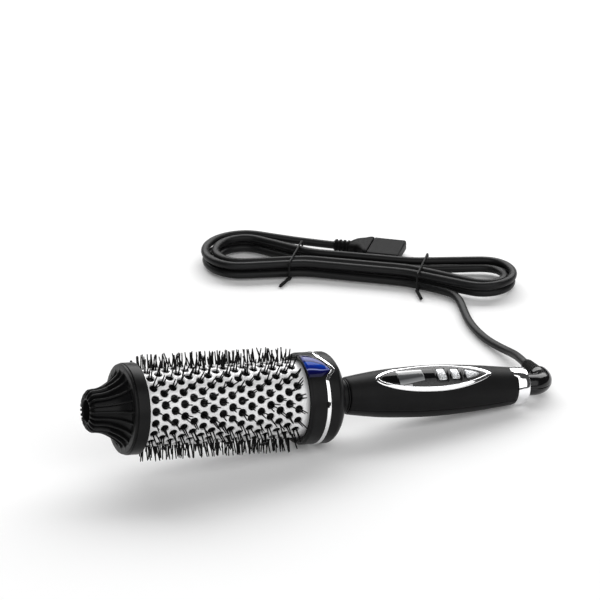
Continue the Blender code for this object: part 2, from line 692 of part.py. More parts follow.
# ---- collar --------------------------------------------------------------------------
def jog(offset, wide):
    """The line that the trim follows from above, as (x, y) points, moved along the axis."""
    base = TRIM_X + offset
    return [(base, -wide), (base, JOG_NEAR), (base + JOG_DEPTH, JOG_POINT), (base, JOG_FAR), (base, wide)]


def split(name, offset, keep_front):
    """A cutter that removes what lies behind (or before) the jogged line, on the upper side."""
    wide = COLLAR_R * 1.5
    far = COLLAR_END + 20 * MM if keep_front else COLLAR_START - 20 * MM
    outline = jog(offset, wide) + [(far, wide), (far, -wide)]
    if not keep_front:
        outline.reverse()
    return cutter(name, raised_mesh(name, [outline], 0.0, wide))


def lens_outline(grow):
    """The lens from above: blunt towards the barrel, pointed towards the grip."""
    half = LENS_HALF_WIDTH + grow
    front = LENS_FRONT - grow
    tip = LENS_TIP + grow * 1.8
    shoulder = LENS_FRONT + (LENS_TIP - LENS_FRONT) * 0.42
    even = [(front, -half + 1.0 * MM), (front, half - 1.0 * MM), (front + 1.0 * MM, half),
            (shoulder, half), (tip - 1.5 * MM, 1.6 * MM + grow / 2), (tip, 0.0),
            (tip - 1.5 * MM, -1.6 * MM - grow / 2), (shoulder, -half), (front + 1.0 * MM, -half)]
    slope = (JOG_POINT - LENS_SKEW) / (LENS_TIP - LENS_FRONT)
    return [(x, y + LENS_SKEW + slope * (x - LENS_FRONT)) for x, y in even]


def make_collar():
    """The collar in two mouldings, the chrome trim between them and the lens."""
    seat_r = BARREL_R + GAP
    floor_x = BARREL_END + GAP
    stem_r = STEM_R + GAP
    skirt = COLLAR_R - COLLAR_WALL
    long_end = TRIM_X + JOG_DEPTH + 2 * MM
    profile = [(long_end, skirt), (long_end, COLLAR_R), (COLLAR_START + 2.2 * MM, COLLAR_R),
               (COLLAR_START + 0.5 * MM, COLLAR_R - 0.6 * MM), (COLLAR_START, COLLAR_R - 1.8 * MM),
               (COLLAR_START + 0.9 * MM, seat_r + 1.0 * MM), (COLLAR_START + 0.9 * MM, seat_r),
               (floor_x, seat_r), (floor_x, stem_r), (floor_x + 2.2 * MM, stem_r),
               (floor_x + 2.2 * MM, skirt)]
    front = turned("collar_front", profile, BLACK)
    boolean(front, split("split_front", -TRIM_GAP, True))
    lower = box_mesh("lower_front", (TRIM_X - TRIM_GAP, -0.05, -0.05), (COLLAR_END, 0.05, 0.0))
    boolean(front, cutter("lower_front", lower))
    window = raised_mesh("lens_window", [lens_outline(GAP)], skirt * 0.8, COLLAR_R * 1.2)
    boolean(front, cutter("lens_window", window))

    wall = COLLAR_WALL
    dome_r = NECK_R + 0.5 * MM
    rise = (COLLAR_R - dome_r) / DOME[-1][1]
    dome = [(COLLAR_END, stem_r)] + [(COLLAR_END - back * MM, dome_r + up * rise) for back, up in DOME]
    inside = [(COLLAR_END - 8.0 * MM, skirt), (COLLAR_END - 4.6 * MM, dome_r + 8.0 * rise),
              (COLLAR_END - wall, dome_r - 0.6 * MM), (COLLAR_END - wall, stem_r)]
    start = TRIM_X + GAP
    rear = turned("collar_rear", dome + [(start, COLLAR_R), (start, skirt)] + inside, BLACK)
    boolean(rear, split("split_rear", TRIM_GAP, False))
    upper = box_mesh("lower_rear", (TRIM_X - 0.01, -0.05, -0.05), (TRIM_X + TRIM_GAP, 0.05, 0.0))
    boolean(rear, cutter("lower_rear", upper))
    make_trim()
    make_lens(skirt, floor_x + 2.2 * MM)


def make_trim():
    """The chrome band round the collar, stepping back round the lens's point."""
    radius = COLLAR_R - TRIM_R + 0.25 * MM
    near, far = math.asin(JOG_NEAR / radius), math.asin(JOG_FAR / radius)
    count = 22
    angles = [far + (2 * math.pi + near - far) * i / count for i in range(count + 1)]
    points = [around(a, radius, TRIM_X) for a in angles]
    for y, depth in (((JOG_NEAR + JOG_POINT) / 2, JOG_DEPTH / 2), (JOG_POINT, JOG_DEPTH),
                     ((JOG_FAR + JOG_POINT) / 2, JOG_DEPTH / 2)):
        points.append(around(math.asin(y / radius), radius, TRIM_X + depth))
    curve = tube_curve("trim_ring", [tuple(p) for p in points], TRIM_R, 0, cyclic=True)
    place("trim_ring", curve, BRUSH, CHROME, PARTS)


def make_lens(skirt, floor_x):
    """The blue lens in the collar's window and the lamp behind it."""
    inner = skirt - 0.6 * MM
    outer = COLLAR_R + LENS_BULGE
    low, high = LENS_FRONT - 2 * MM, LENS_TIP + 3 * MM
    skin = [(high, inner), (high, outer), (low, outer), (low, inner)]
    lens = turned("indicator_lens", skin, BLUE, steps=2 * FACETS)
    outline = raised_mesh("lens_outline", [lens_outline(0.0)], skirt * 0.8, outer * 1.1)
    boolean(lens, cutter("lens_outline", outline), "INTERSECT")
    top = inner - GAP - 0.4 * MM
    lamp = box_mesh("indicator_lamp", (floor_x + GAP, -LED_SIZE / 2, top - LED_SIZE),
                    (floor_x + GAP + 3.0 * MM, LED_SIZE / 2, top))
    place("indicator_lamp", lamp, BRUSH, LAMP, PARTS)


# ---- grip ----------------------------------------------------------------------------
def grip_line(offset, start=GRIP_START, end=GRIP_END, count=9):
    """The grip's outer line from rear to front, offset inwards, between two places."""
    shares, swell = np.array(GRIP_SWELL).T
    xs = GRIP_START + shares * (GRIP_END - GRIP_START)
    rs = GRIP_FRONT_R + shares * (RING_R - GRIP_FRONT_R) + swell * MM
    places = np.linspace(end, start, count)
    return [(float(x), float(np.interp(x, xs, rs)) - offset) for x in places]


def grip_radius(x):
    """The grip's outer radius at a place along the axis."""
    return grip_line(0.0, x, x, 1)[0][1]


def shell_profile():
    """A closed profile of the grip's casing, with end walls round the stem and the bush."""
    outside = grip_line(0.0)
    inside = grip_line(GRIP_WALL, GRIP_START + GRIP_WALL, GRIP_END - GRIP_WALL, 5)
    inside.reverse()
    front_bore = STEM_R + GAP
    rear_bore = BUSH_R + GAP
    front_wall = [(GRIP_START, front_bore), (GRIP_START + GRIP_WALL, front_bore)]
    return [(GRIP_END, rear_bore)] + outside + front_wall + inside + [(GRIP_END - GRIP_WALL, rear_bore)]


def make_grip():
    """The two halves of the casing, parted level with the panel's plane."""
    wide = 0.03
    start, end = GRIP_START - 0.01, GRIP_END + 0.01
    seam = GAP / 2
    below = cutter("below_seam", box_mesh("below_seam", (start, -wide, -wide), (end, wide, seam)))
    above = cutter("above_seam", box_mesh("above_seam", (start, -wide, -seam), (end, wide, wide)))
    upper = turned("handle_upper", shell_profile(), RUBBER)
    boolean(upper, below)
    opening = raised_mesh("panel_opening", [panel_outline(GAP)], 2.0 * MM, wide)
    boolean(upper, cutter("panel_opening", opening))
    lower = turned("handle_lower", shell_profile(), RUBBER)
    boolean(lower, above)
    for name, x in (("post_front", BOARD_START + 5 * MM), ("post_rear", BOARD_END - 6 * MM)):
        bottom = -(grip_radius(x) - GRIP_WALL / 2)
        post = rod_mesh(name, (x, 0, bottom), (x, 0, BOARD_Z - GAP), POST_R, 10)
        boolean(lower, cutter(name, post), "UNION")
    make_neck_ring()


def make_neck_ring():
    """The short grooved ring between collar and grip."""
    bore = STEM_R + GAP
    end = GRIP_START - GAP
    start = COLLAR_END + GAP
    groove = end - 1.0 * MM
    profile = [(end, bore), (end, NECK_R), (groove, NECK_R - 0.5 * MM), (groove - 0.5 * MM, NECK_R),
               (start, NECK_R), (start, bore)]
    turned("neck_ring", profile, BLACK)


def panel_outline(grow):
    """The bezel's pointed oval, grown or shrunk evenly."""
    return shifted(oval(PANEL_HALF_LENGTH + grow * 1.6, PANEL_HALF_WIDTH + grow, PANEL_POINT), PANEL_X)


def curved_plate(name, look, outlines, top, thick):
    """A plate that follows the grip's curve: outlines from above cut from a turned skin.
    top is how far its face stands out of the grip."""
    start, end = PANEL_X - PANEL_HALF_LENGTH - 4 * MM, PANEL_X + PANEL_HALF_LENGTH + 4 * MM
    face = grip_line(-top, start, end, 6)
    back = grip_line(thick - top, start, end, 6)
    back.reverse()
    plate = turned(name, face + back, look)
    tool = raised_mesh(f"{name}_outline", outlines, 2.0 * MM, 0.03)
    boolean(plate, cutter(f"{name}_outline", tool), "INTERSECT")
    return plate


def window_reach(grow):
    """What the display window takes of the panel: its whole front, then a narrower strip."""
    half = WINDOW_HALF_WIDTH + grow
    neck, end = WINDOW_NECK + grow, WINDOW_END + grow
    front = PANEL_X - PANEL_HALF_LENGTH
    return [(end, -half), (end, half), (neck + 3 * MM, half), (neck, PANEL_HALF_WIDTH),
            (front, PANEL_HALF_WIDTH), (front, -PANEL_HALF_WIDTH), (neck, -PANEL_HALF_WIDTH),
            (neck + 3 * MM, -half)]


def key_outline(name, middle, length, half_width, grow):
    """A key from above: an oblong, or a leaf for the one nearest the cord."""
    half = half_width + grow
    low, high = middle - length / 2 - grow, middle + length / 2 + grow
    if name != "key_power":
        cut = 0.7 * MM
        return [(low + cut, -half), (high - cut, -half), (high, -half + cut), (high, half - cut),
                (high - cut, half), (low + cut, half), (low, half - cut), (low, -half + cut)]
    return [(low, -half + 0.8 * MM), (low + 0.8 * MM, -half), (low + length * 0.45, -half * 0.8),
            (high - 1.6 * MM, -half * 0.34), (high, 0.0), (high - 1.6 * MM, half * 0.34),
            (low + length * 0.45, half * 0.8), (low + 0.8 * MM, half), (low, half - 0.8 * MM)]


def make_panel():
    """The chrome bezel, the panel in it, the display behind its window, and the keys."""
    inner = panel_outline(-BEZEL_WIDTH)
    curved_plate("panel_bezel", CHROME, [panel_outline(0.0), inner], BEZEL_PROUD, BEZEL_THICK)
    inside = panel_outline(-BEZEL_WIDTH - GAP)
    plate = curved_plate("panel_plate", GREY, [inside], 0.0, PANEL_THICK)
    hole = raised_mesh("window_hole", [window_reach(GAP)], 2.0 * MM, 0.03)
    boolean(plate, cutter("window_hole", hole))
    window = curved_plate("display_window", GLASS, [inside], -WINDOW_SUNK, PANEL_THICK - WINDOW_SUNK)
    reach = raised_mesh("window_reach", [window_reach(0.0)], 2.0 * MM, 0.03)
    boolean(window, cutter("window_reach", reach), "INTERSECT")
    board_top = BOARD_Z + BOARD_THICK
    board = box_mesh("circuit_board", (BOARD_START, -BOARD_WIDTH / 2, BOARD_Z),
                     (BOARD_END, BOARD_WIDTH / 2, board_top))
    place("circuit_board", board, BRUSH, BOARD, PARTS)
    skin_r = grip_radius(DISPLAY_START)
    window_back = PANEL_THICK + WINDOW_SUNK
    display_top = skin_r * math.cos(DISPLAY_WIDTH / 2 / skin_r) - window_back - GAP
    display = box_mesh("display_module", (DISPLAY_START, -DISPLAY_WIDTH / 2, board_top + GAP),
                       (DISPLAY_END, DISPLAY_WIDTH / 2, display_top))
    place("display_module", display, BRUSH, DISPLAY, PARTS)
    for index, (name, *sizes) in enumerate(KEYS):
        middle, length, half_width = [size * MM for size in sizes]
        make_key(plate, name, PANEL_X + middle, length, half_width, index + 1, board_top)


def make_key(plate, name, middle, length, half_width, number, board_top):
    """One key in its hole, on an empty at its own middle, and the switch under it."""
    hole = key_outline(name, middle, length, half_width, GAP)
    opening = raised_mesh(f"{name}_hole", [hole], 2.0 * MM, 0.03)
    boolean(plate, cutter(f"{name}_hole", opening))
    thick = PANEL_THICK + KEY_PROUD + 1.0 * MM
    key = curved_plate(name, SILVER, [key_outline(name, middle, length, half_width, 0.0)], KEY_PROUD, thick)
    origin = Vector((middle, 0.0, grip_radius(middle)))
    key.data.transform(Matrix.Translation(-origin))
    key.location = origin
    edge = grip_radius(middle + length / 2) * math.cos(half_width / grip_radius(middle))
    top = edge + KEY_PROUD - thick - KEY_TRAVEL - GAP
    switch = box_mesh(f"key_switch_{number}", (middle - SWITCH_SIZE / 2, -SWITCH_SIZE / 2, board_top + GAP),
                      (middle + SWITCH_SIZE / 2, SWITCH_SIZE / 2, top))
    place(f"key_switch_{number}", switch, BRUSH, BLACK, PARTS)


# ---- end ring and swivel -------------------------------------------------------------
def make_end():
    """The chrome ring behind the grip and the bush in which the cord's elbow turns."""
    start = GRIP_END + GAP
    inner = BUSH_R + GAP
    cut = 0.7 * MM
    turned("end_ring", [(RING_END, inner), (RING_END, RING_R - cut), (RING_END - cut, RING_R),
                        (start + cut, RING_R), (start, RING_R - cut), (start, inner)], CHROME)
    bore = SHAFT_R + GAP
    flange_end = BUSH_START + BUSH_FLANGE
    profile = [(RING_END - GAP, bore), (RING_END - GAP, BUSH_R), (flange_end, BUSH_R),
               (flange_end, BUSH_FLANGE_R), (BUSH_START, BUSH_FLANGE_R), (BUSH_START, bore)]
    turned("swivel_bush", profile, BLACK, steps=HIDDEN_FACETS)


def make_swivel():
    """The elbow on its shaft, the clip that keeps it in the bush, and the strain relief."""
    corner = RING_END + ELBOW_REACH
    groove_end = BUSH_START - GAP
    groove_start = groove_end - CLIP_THICK - 2 * GAP
    path = [(SHAFT_START, SHAFT_R), (groove_start - 0.001 * MM, SHAFT_R), (groove_start, GROOVE_R),
            (groove_end, GROOVE_R), (groove_end + 0.001 * MM, SHAFT_R), (RING_END + GAP - 0.01 * MM, SHAFT_R),
            (RING_END + GAP, ELBOW_R - 0.4 * MM), (corner - ELBOW_BEND, ELBOW_R)]
    points = [(x, 0.0, 0.0) for x, _ in path]
    radii = [radius / ELBOW_R for _, radius in path]
    for step in range(1, 7):
        angle = math.pi / 2 * step / 6
        back = ELBOW_BEND * (1 - math.sin(angle))
        points.append((corner - back, ELBOW_BEND * (1 - math.cos(angle)), 0.0))
        radii.append(1.0)
    points.append((corner, ELBOW_OUT, 0.0))
    radii.append(0.94)
    elbow = tube_curve("swivel_elbow", points, ELBOW_R, 3, radii=radii)
    place("swivel_elbow", elbow, SWIVEL, GLOSS, PARTS)

    middle = (groove_start + groove_end) / 2
    low, high = middle - CLIP_THICK / 2, middle + CLIP_THICK / 2
    ring = GROOVE_R + GAP
    clip = turned("swivel_clip", [(high, ring), (high, CLIP_R), (low, CLIP_R), (low, ring)], STEEL, SWIVEL)
    slot = box_mesh("clip_slot", (low - MM, -ring * 0.9, 0.0), (high + MM, ring * 0.9, 2 * CLIP_R))
    tool = cutter("clip_slot", slot)
    tool.parent = SWIVEL
    boolean(clip, tool)

    start = ELBOW_OUT + GAP
    points, radii = [], []
    pitch = RELIEF_LENGTH / RELIEF_RIBS
    for rib in range(RELIEF_RIBS):
        taper = 1.0 - 0.16 * rib / RELIEF_RIBS
        for share, size in ((0.0, 0.93), (0.25, 1.0), (0.75, 1.0)):
            points.append((corner, start + (rib + share) * pitch, 0.0))
            radii.append(size * taper)
    points.append((corner, start + RELIEF_LENGTH, 0.0))
    radii.append(0.78)
    relief = tube_curve("strain_relief", points, RELIEF_R, 2, radii=radii)
    place("strain_relief", relief, SWIVEL, RUBBER, PARTS)


# ---- cord ----------------------------------------------------------------------------
def smooth_route(points, spacing):
    """Points along a Catmull-Rom curve through the given ones, at an even spacing."""
    points = np.array(points)
    ends = np.vstack([2 * points[0] - points[1], points, 2 * points[-1] - points[-2]])
    fine = []
    for index in range(len(points) - 1):
        a, b, c, d = ends[index:index + 4]
        t = np.linspace(0, 1, 20, endpoint=False)[:, None]
        fine.append(0.5 * (2 * b + (c - a) * t + (2 * a - 5 * b + 4 * c - d) * t ** 2
                           + (3 * b - a - 3 * c + d) * t ** 3))
    fine = np.vstack(fine + [points[-1:]])
    run = np.concatenate([[0], np.cumsum(np.linalg.norm(np.diff(fine, axis=0), axis=1))])
    even = np.linspace(0, run[-1], max(2, round(run[-1] / spacing)) + 1)
    return np.stack([np.interp(even, run, fine[:, axis]) for axis in range(3)], axis=1)


def lane_half_width(x, lane):
    """Half the hank's width at x for a lane counted outwards from 0."""
    left = np.clip((-x - WAIST_LEFT) / (HANK_LEFT - WAIST_LEFT), 0, 1)
    right = np.clip((x - WAIST_RIGHT) / (HANK_RIGHT - WAIST_RIGHT), 0, 1)
    grow = (LEFT_INNER_R - INNER_HALF_WIDTH) * left + (RIGHT_INNER_R - INNER_HALF_WIDTH) * right
    return INNER_HALF_WIDTH + grow + lane * LANE_STEP


def loop_point(turn, lane):
    """A point of the hank. Of a turn's four quarters, the first is the near run, going left,
    the second the left end, the third the far run, and the last the right end."""
    quarter, share = divmod(4 * (turn % 1.0), 1.0)
    length = HANK_RIGHT + HANK_LEFT
    if quarter == 0:
        x = HANK_RIGHT - length * share
        return x, -lane_half_width(x, lane)
    if quarter == 2:
        x = length * share - HANK_LEFT
        return x, lane_half_width(x, lane)
    angle = math.pi * share
    if quarter == 1:
        radius = LEFT_INNER_R + lane * LANE_STEP
        return -HANK_LEFT - radius * math.sin(angle), -radius * math.cos(angle)
    radius = RIGHT_INNER_R + lane * LANE_STEP
    return HANK_RIGHT + radius * math.sin(angle), radius * math.cos(angle)


def hank_route():
    """The wound cord's centre line: it spirals in on the lower layer, climbs along a run,
    and spirals out on the upper one. Each loop has the same number of points."""
    low = 2 * TIE_R + GAP + CORD_R
    points = []
    for index in range(math.ceil(HANK_TURNS * LOOP_POINTS) + 1):
        done = min(index / LOOP_POINTS, HANK_TURNS)
        lane = max(TURNS_IN - done, done - TURNS_IN - CLIMB_TURNS, 0.0)
        climb = min(max((done - TURNS_IN) / CLIMB_TURNS, 0.0), 1.0)
        x, y = loop_point(FIRST_SHARE + done, lane)
        points.append((x, y, low + LAYER_STEP * climb))
    points = squared_end(points[::-1])[::-1]
    return np.array(squared_end(points))


def squared_end(points):
    """Adds a straight run, one diameter long, to the route's last point."""
    last, before = Vector(points[-1]), Vector(points[-2])
    along = (last - before).normalized()
    level = Vector((along.x, along.y, 0.0)).normalized()
    return list(points) + [tuple(last + level * CORD_R * 2)]


def least_gap(route, radius):
    """The smallest distance between the tube's own turns."""
    route = np.asarray(route)
    pieces = [np.linspace(a, b, 6, endpoint=False) for a, b in zip(route[:-1], route[1:])]
    fine = np.vstack(pieces)
    run = np.concatenate([[0], np.cumsum(np.linalg.norm(np.diff(fine, axis=0), axis=1))])
    apart = np.linalg.norm(fine[:, None] - fine[None], axis=2)
    apart[np.abs(run[:, None] - run[None]) < 12 * radius] = np.inf
    return float(apart.min()) - 2 * radius


def make_cord():
    """The lead from the strain relief, the hank, the tail to the plug, and the two ties."""
    route = hank_route()
    print(f"hank: least gap to itself {least_gap(route, CORD_R) * 1000:.2f} mm")
    hank = tube_curve("cord_hank", [tuple(p) for p in route], CORD_R, 1)
    place("cord_hank", hank, HANK, CORD, PARTS)

    bpy.context.view_layer.update()
    to_floor = HANK.matrix_world
    start = SWIVEL.matrix_world @ Vector((RING_END + ELBOW_REACH, ELBOW_OUT + RELIEF_LENGTH + 2 * GAP, 0.0))
    first = start + Vector((0.0, CORD_R * 2, 0.0))
    join = to_floor @ Vector(route[0])
    inward = (to_floor @ Vector(route[1]) - join).normalized()
    last = join - inward * GAP
    before = last - inward * CORD_R * 2
    points = smooth_route([tuple(first), *LEAD_ROUTE, tuple(before)], CORD_R * 5)
    points = [tuple(start)] + [tuple(p) for p in points] + [tuple(last)]
    place("cord_lead", tube_curve("cord_lead", points, CORD_R, 2), CORD_FRAME, CORD, PARTS)

    turn = Matrix.Rotation(PLUG_TURN, 4, "Z")
    plug_at = Vector(PLUG_PLACE)
    along = turn @ Vector((1.0, 0.0, 0.0))
    join = Vector(route[-1])
    outward = (join - Vector(route[-2])).normalized()
    begin = join + outward * GAP
    finish = plug_at - along * GAP
    points = [tuple(begin + outward * CORD_R * 2), *TAIL_ROUTE, tuple(finish - along * CORD_R * 2)]
    points = [tuple(begin)] + [tuple(p) for p in smooth_route(points, CORD_R * 5)] + [tuple(finish)]
    place("cord_tail", tube_curve("cord_tail", points, CORD_R, 2), HANK, CORD, PARTS)
    make_ties(route)
    make_plug(plug_at, turn)


def bundle_sides(route, x):
    """The least and the greatest y of the wound cord's centre lines where a tie crosses."""
    ys = []
    for start, end in zip(route[:-1], route[1:]):
        low, high = sorted((start[0], end[0]))
        if low < x + TIE_R and high > x - TIE_R:
            share = np.clip((x - start[0]) / (end[0] - start[0]), 0, 1)
            ys.append(start[1] + share * (end[1] - start[1]))
    return min(ys), max(ys)


def make_ties(route):
    """Two round ties, each closed round the whole bundle."""
    for name, x in TIE_PLACES:
        bend = TIE_BEND
        away = CORD_R + 2 * GAP + TIE_R
        near, far = bundle_sides(route, x)
        near, far = near - away + bend, far + away - bend
        low, high = TIE_R + bend, 3 * TIE_R + 2 * GAP + LAYER_STEP + 2 * CORD_R - bend
        corners = ((far, low, -90), (far, high, 0), (near, high, 90), (near, low, 180))
        points = []
        for corner_y, corner_z, start in corners:
            for step in range(4):
                angle = math.radians(start + 30 * step)
                points.append((x, corner_y + bend * math.cos(angle), corner_z + bend * math.sin(angle)))
        place(name, tube_curve(name, points, TIE_R, 0, cyclic=True), HANK, TIE, PARTS)


def make_plug(at, turn):
    """The two-pin plug: a ribbed relief and a wedge-shaped body in one moulding, its pins,
    and the cover that protects them."""
    frame = bpy.data.objects.new("plug_frame", None)
    frame.parent = HANK
    frame.matrix_local = Matrix.Translation(at) @ turn
    PARTS.objects.link(frame)
    start = PLUG_RELIEF - 1.0 * MM
    half, thick = PLUG_WIDTH / 2, PLUG_THICK / 2
    end = PLUG_RELIEF + PLUG_LENGTH
    cut = 2.0 * MM
    face = half + PLUG_FLARE
    outline = [(start, -half * 0.55), (start + 3 * MM, -half * 0.9), (start + 6 * MM, -half),
               (end - cut, -face), (end, -face + MM), (end, face - MM), (end - cut, face),
               (start + 6 * MM, half), (start + 3 * MM, half * 0.9), (start, half * 0.55)]
    body = place("plug_body", raised_mesh("plug_body", [outline], -thick, thick), frame, BLACK, PARTS)
    side = [(start - MM, -thick * 0.6), (start + 4 * MM, -thick), (end + MM, -thick * 0.8),
            (end + MM, thick * 0.8), (start + 4 * MM, thick), (start - MM, thick * 0.6)]
    mesh = raised_mesh("plug_side", [side], -0.03, 0.03)
    mesh.transform(Matrix.Rotation(math.pi / 2, 4, "X"))
    tool = cutter("plug_side", mesh)
    tool.parent = frame
    boolean(body, tool, "INTERSECT")
    points, radii = [], []
    for rib in range(4):
        for share, size in ((0.0, 0.8), (0.3, 1.0), (0.7, 1.0)):
            points.append(((rib + share) * (PLUG_RELIEF - 1.0 * MM) / 4, 0.0, 0.0))
            radii.append(size)
    points.append((PLUG_RELIEF + 1.0 * MM, 0.0, 0.0))
    radii.append(0.8)
    curve = tube_curve("plug_relief", points, PLUG_RELIEF_R, 2, radii=radii)
    ribs = bpy.data.objects.new("plug_relief", curve)
    CUTTERS.objects.link(ribs)
    ribs = cutter("plug_relief", evaluated_mesh("plug_relief", ribs))
    ribs.parent = frame
    boolean(body, ribs, "UNION")
    seat = end - PIN_SOCKET
    for name, y in (("plug_pin_left", PIN_SPACING), ("plug_pin_right", -PIN_SPACING)):
        bore = rod_mesh(f"{name}_hole", (seat, y, 0), (end + 5 * MM, y, 0), PIN_R + GAP)
        hole = cutter(f"{name}_hole", bore)
        hole.parent = frame
        boolean(body, hole)
        tip = end + PIN_LENGTH
        profile = [(tip, 0.0), (tip, PIN_R - 0.8 * MM), (tip - 1.0 * MM, PIN_R),
                   (seat + GAP, PIN_R), (seat + GAP, 0.0)]
        pin = turned(name, profile, STEEL, frame, HIDDEN_FACETS, closed=False)
        pin.location.y = y
    make_cover(frame, end, end + PIN_LENGTH + GAP)


def make_cover(frame, face, pocket_end):
    """The cover that is pushed over the pins: a flat box, open towards the plug's face."""
    room_y, room_z = PIN_SPACING + PIN_R + GAP, PIN_R + GAP
    half, thick = room_y + COVER_WALL, room_z + COVER_WALL
    start, end, cut = face + GAP, pocket_end + COVER_END, 1.5 * MM
    outline = [(start, -half), (end - cut, -half), (end, -half + cut), (end, half - cut),
               (end - cut, half), (start, half)]
    cover = place("plug_cover", raised_mesh("plug_cover", [outline], -thick, thick), frame, BLACK, PARTS)
    pocket = cutter("cover_pocket", box_mesh("cover_pocket", (face - MM, -room_y, -room_z),
                                             (pocket_end, room_y, room_z)))
    pocket.parent = frame
    boolean(cover, pocket)


# ---- scene ---------------------------------------------------------------------------
for old in list(bpy.data.objects):
    bpy.data.objects.remove(old)

PARTS = bpy.data.collections.new("round_barrel_brush")
CUTTERS = bpy.data.collections.new("cutters")
bpy.context.scene.collection.children.link(PARTS)
bpy.context.scene.collection.children.link(CUTTERS)

BLACK = material("satin_black", (0.012, 0.012, 0.013), 0.42)
GLOSS = material("gloss_black", (0.008, 0.008, 0.009), 0.16)
RUBBER = material("soft_black", (0.016, 0.016, 0.017), 0.62)
NYLON = material("black_nylon", (0.010, 0.010, 0.011), 0.5)
METAL = material("coated_metal", (0.86, 0.87, 0.88), 0.3, 0.6)
ALUMINIUM = material("aluminium", (0.75, 0.76, 0.78), 0.38, 1.0)
STEEL = material("steel", (0.62, 0.62, 0.64), 0.3, 1.0)
CHROME = material("chrome", (0.86, 0.86, 0.88), 0.06, 1.0)
CERAMIC = material("ceramic", (0.82, 0.80, 0.74), 0.6)
BLUE = material("blue_lens", (0.02, 0.03, 0.42), 0.08, 0.0, 0.6)
LAMP = material("lamp", (0.75, 0.80, 0.95), 0.3)
GREY = material("dark_grey", (0.05, 0.05, 0.053), 0.4)
SILVER = material("silver_key", (0.55, 0.56, 0.57), 0.35, 0.6)
GLASS = material("smoked_window", (0.05, 0.055, 0.06), 0.05, 0.0, 0.5)
DISPLAY = material("display_grey", (0.45, 0.47, 0.46), 0.35)
BOARD = material("board_green", (0.03, 0.16, 0.06), 0.5)
CORD = material("cord_black", (0.014, 0.014, 0.015), 0.5)
TIE = material("tie_black", (0.012, 0.012, 0.012), 0.55)

BRUSH = bpy.data.objects.new("brush", None)
BRUSH.location = (-MIDDLE_SHIFT, 0.0, NOSE_HEIGHT)
BRUSH.rotation_euler = (ROLL, TILT, 0.0)
SWIVEL = bpy.data.objects.new("swivel", None)
SWIVEL.location = BRUSH.location
SWIVEL.rotation_euler = (0.0, TILT, 0.0)
HANK = bpy.data.objects.new("hank", None)
HANK.location = (*HANK_MIDDLE, 0.0)
HANK.rotation_euler.z = HANK_TURN
CORD_FRAME = bpy.data.objects.new("cord_frame", None)
for empty in (BRUSH, SWIVEL, HANK, CORD_FRAME):
    PARTS.objects.link(empty)
bpy.context.view_layer.update()

make_cool_tip()
make_tip_screw()
make_barrel()
make_bristle_strips()
make_heater()
make_collar()
make_grip()
make_panel()
make_end()
make_swivel()
make_cord()
print(f"tilt {math.degrees(TILT):.2f} degrees, nose height {NOSE_HEIGHT * 1000:.2f} mm")
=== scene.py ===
# %% [markdown]
# # A heated round barrel brush
#
# The brush lies on a white table: a black finned tip on the left, a pale metal barrel
# full of round holes with nylon bristles standing out of them, a black collar with a
# chrome band and a blue lens, and a soft black grip with a small display and three keys.
# Its cord leaves at the right through an elbow that can turn, and lies behind the brush
# as a long hank held by two wire ties.
#
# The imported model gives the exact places. Everything the eye sees is made again here as
# fine surfaces: a formula gives a grid of points, and the grid becomes a mesh.

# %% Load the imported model
import json
import math

import bmesh
import bpy
import numpy as np
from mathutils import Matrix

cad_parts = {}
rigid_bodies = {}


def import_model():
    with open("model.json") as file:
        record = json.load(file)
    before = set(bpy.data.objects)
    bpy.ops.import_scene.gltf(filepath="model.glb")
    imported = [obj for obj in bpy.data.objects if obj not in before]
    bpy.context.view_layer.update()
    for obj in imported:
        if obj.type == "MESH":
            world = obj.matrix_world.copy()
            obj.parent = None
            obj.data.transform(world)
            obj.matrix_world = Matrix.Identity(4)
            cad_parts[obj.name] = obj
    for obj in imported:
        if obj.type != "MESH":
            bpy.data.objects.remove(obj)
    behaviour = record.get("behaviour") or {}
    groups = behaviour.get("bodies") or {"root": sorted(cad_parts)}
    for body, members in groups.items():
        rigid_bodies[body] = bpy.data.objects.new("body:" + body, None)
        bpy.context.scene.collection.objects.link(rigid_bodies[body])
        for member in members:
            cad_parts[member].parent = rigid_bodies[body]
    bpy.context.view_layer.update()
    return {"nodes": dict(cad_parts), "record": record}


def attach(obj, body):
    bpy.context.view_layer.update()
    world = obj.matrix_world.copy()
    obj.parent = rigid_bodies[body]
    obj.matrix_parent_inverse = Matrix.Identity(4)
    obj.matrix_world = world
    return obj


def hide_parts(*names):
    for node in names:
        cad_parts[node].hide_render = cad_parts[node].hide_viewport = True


for old in list(bpy.data.objects):
    bpy.data.objects.remove(old)

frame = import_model()
print("packed nodes:", len(frame["nodes"]))

# %% [markdown]
# ## The camera
#
# A long lens far away keeps the round ends of the barrel from spreading. The numbers come
# from fitting the circles of the tip, the barrel, the collar and the end ring to the
# ellipses that they make in the picture.

# %% Camera
FOCAL_LENGTH, SENSOR_WIDTH = 216.0, 36.0
CAMERA_AT = (-0.70856, -1.70928, 0.93157)
CAMERA_TURN = math.radians(22.046)
CAMERA_DOWN = math.radians(24.534)

camera_data = bpy.data.cameras.new("view")
camera_data.sensor_width, camera_data.lens = SENSOR_WIDTH, FOCAL_LENGTH
camera = bpy.data.objects.new("view", camera_data)
camera.location = CAMERA_AT
camera.rotation_euler = (math.pi / 2 - CAMERA_DOWN, 0.0, -CAMERA_TURN)
bpy.context.scene.collection.objects.link(camera)
bpy.context.scene.camera = camera
print("camera at", CAMERA_AT)

# %% [markdown]
# ## Frames of reference
#
# The brush is easiest to describe lying along +X with its nose hole at x = 0 and its keys
# facing up. On the table it is rolled a little towards the viewer and rests on its
# rearmost bristles and on its end ring, so its nose is higher than its end. The elbow and
# the cord turn about the brush's axis, so they share its tilt but not its roll. The hank
# has a frame of its own, turned in plan, and the plug behind it has another.

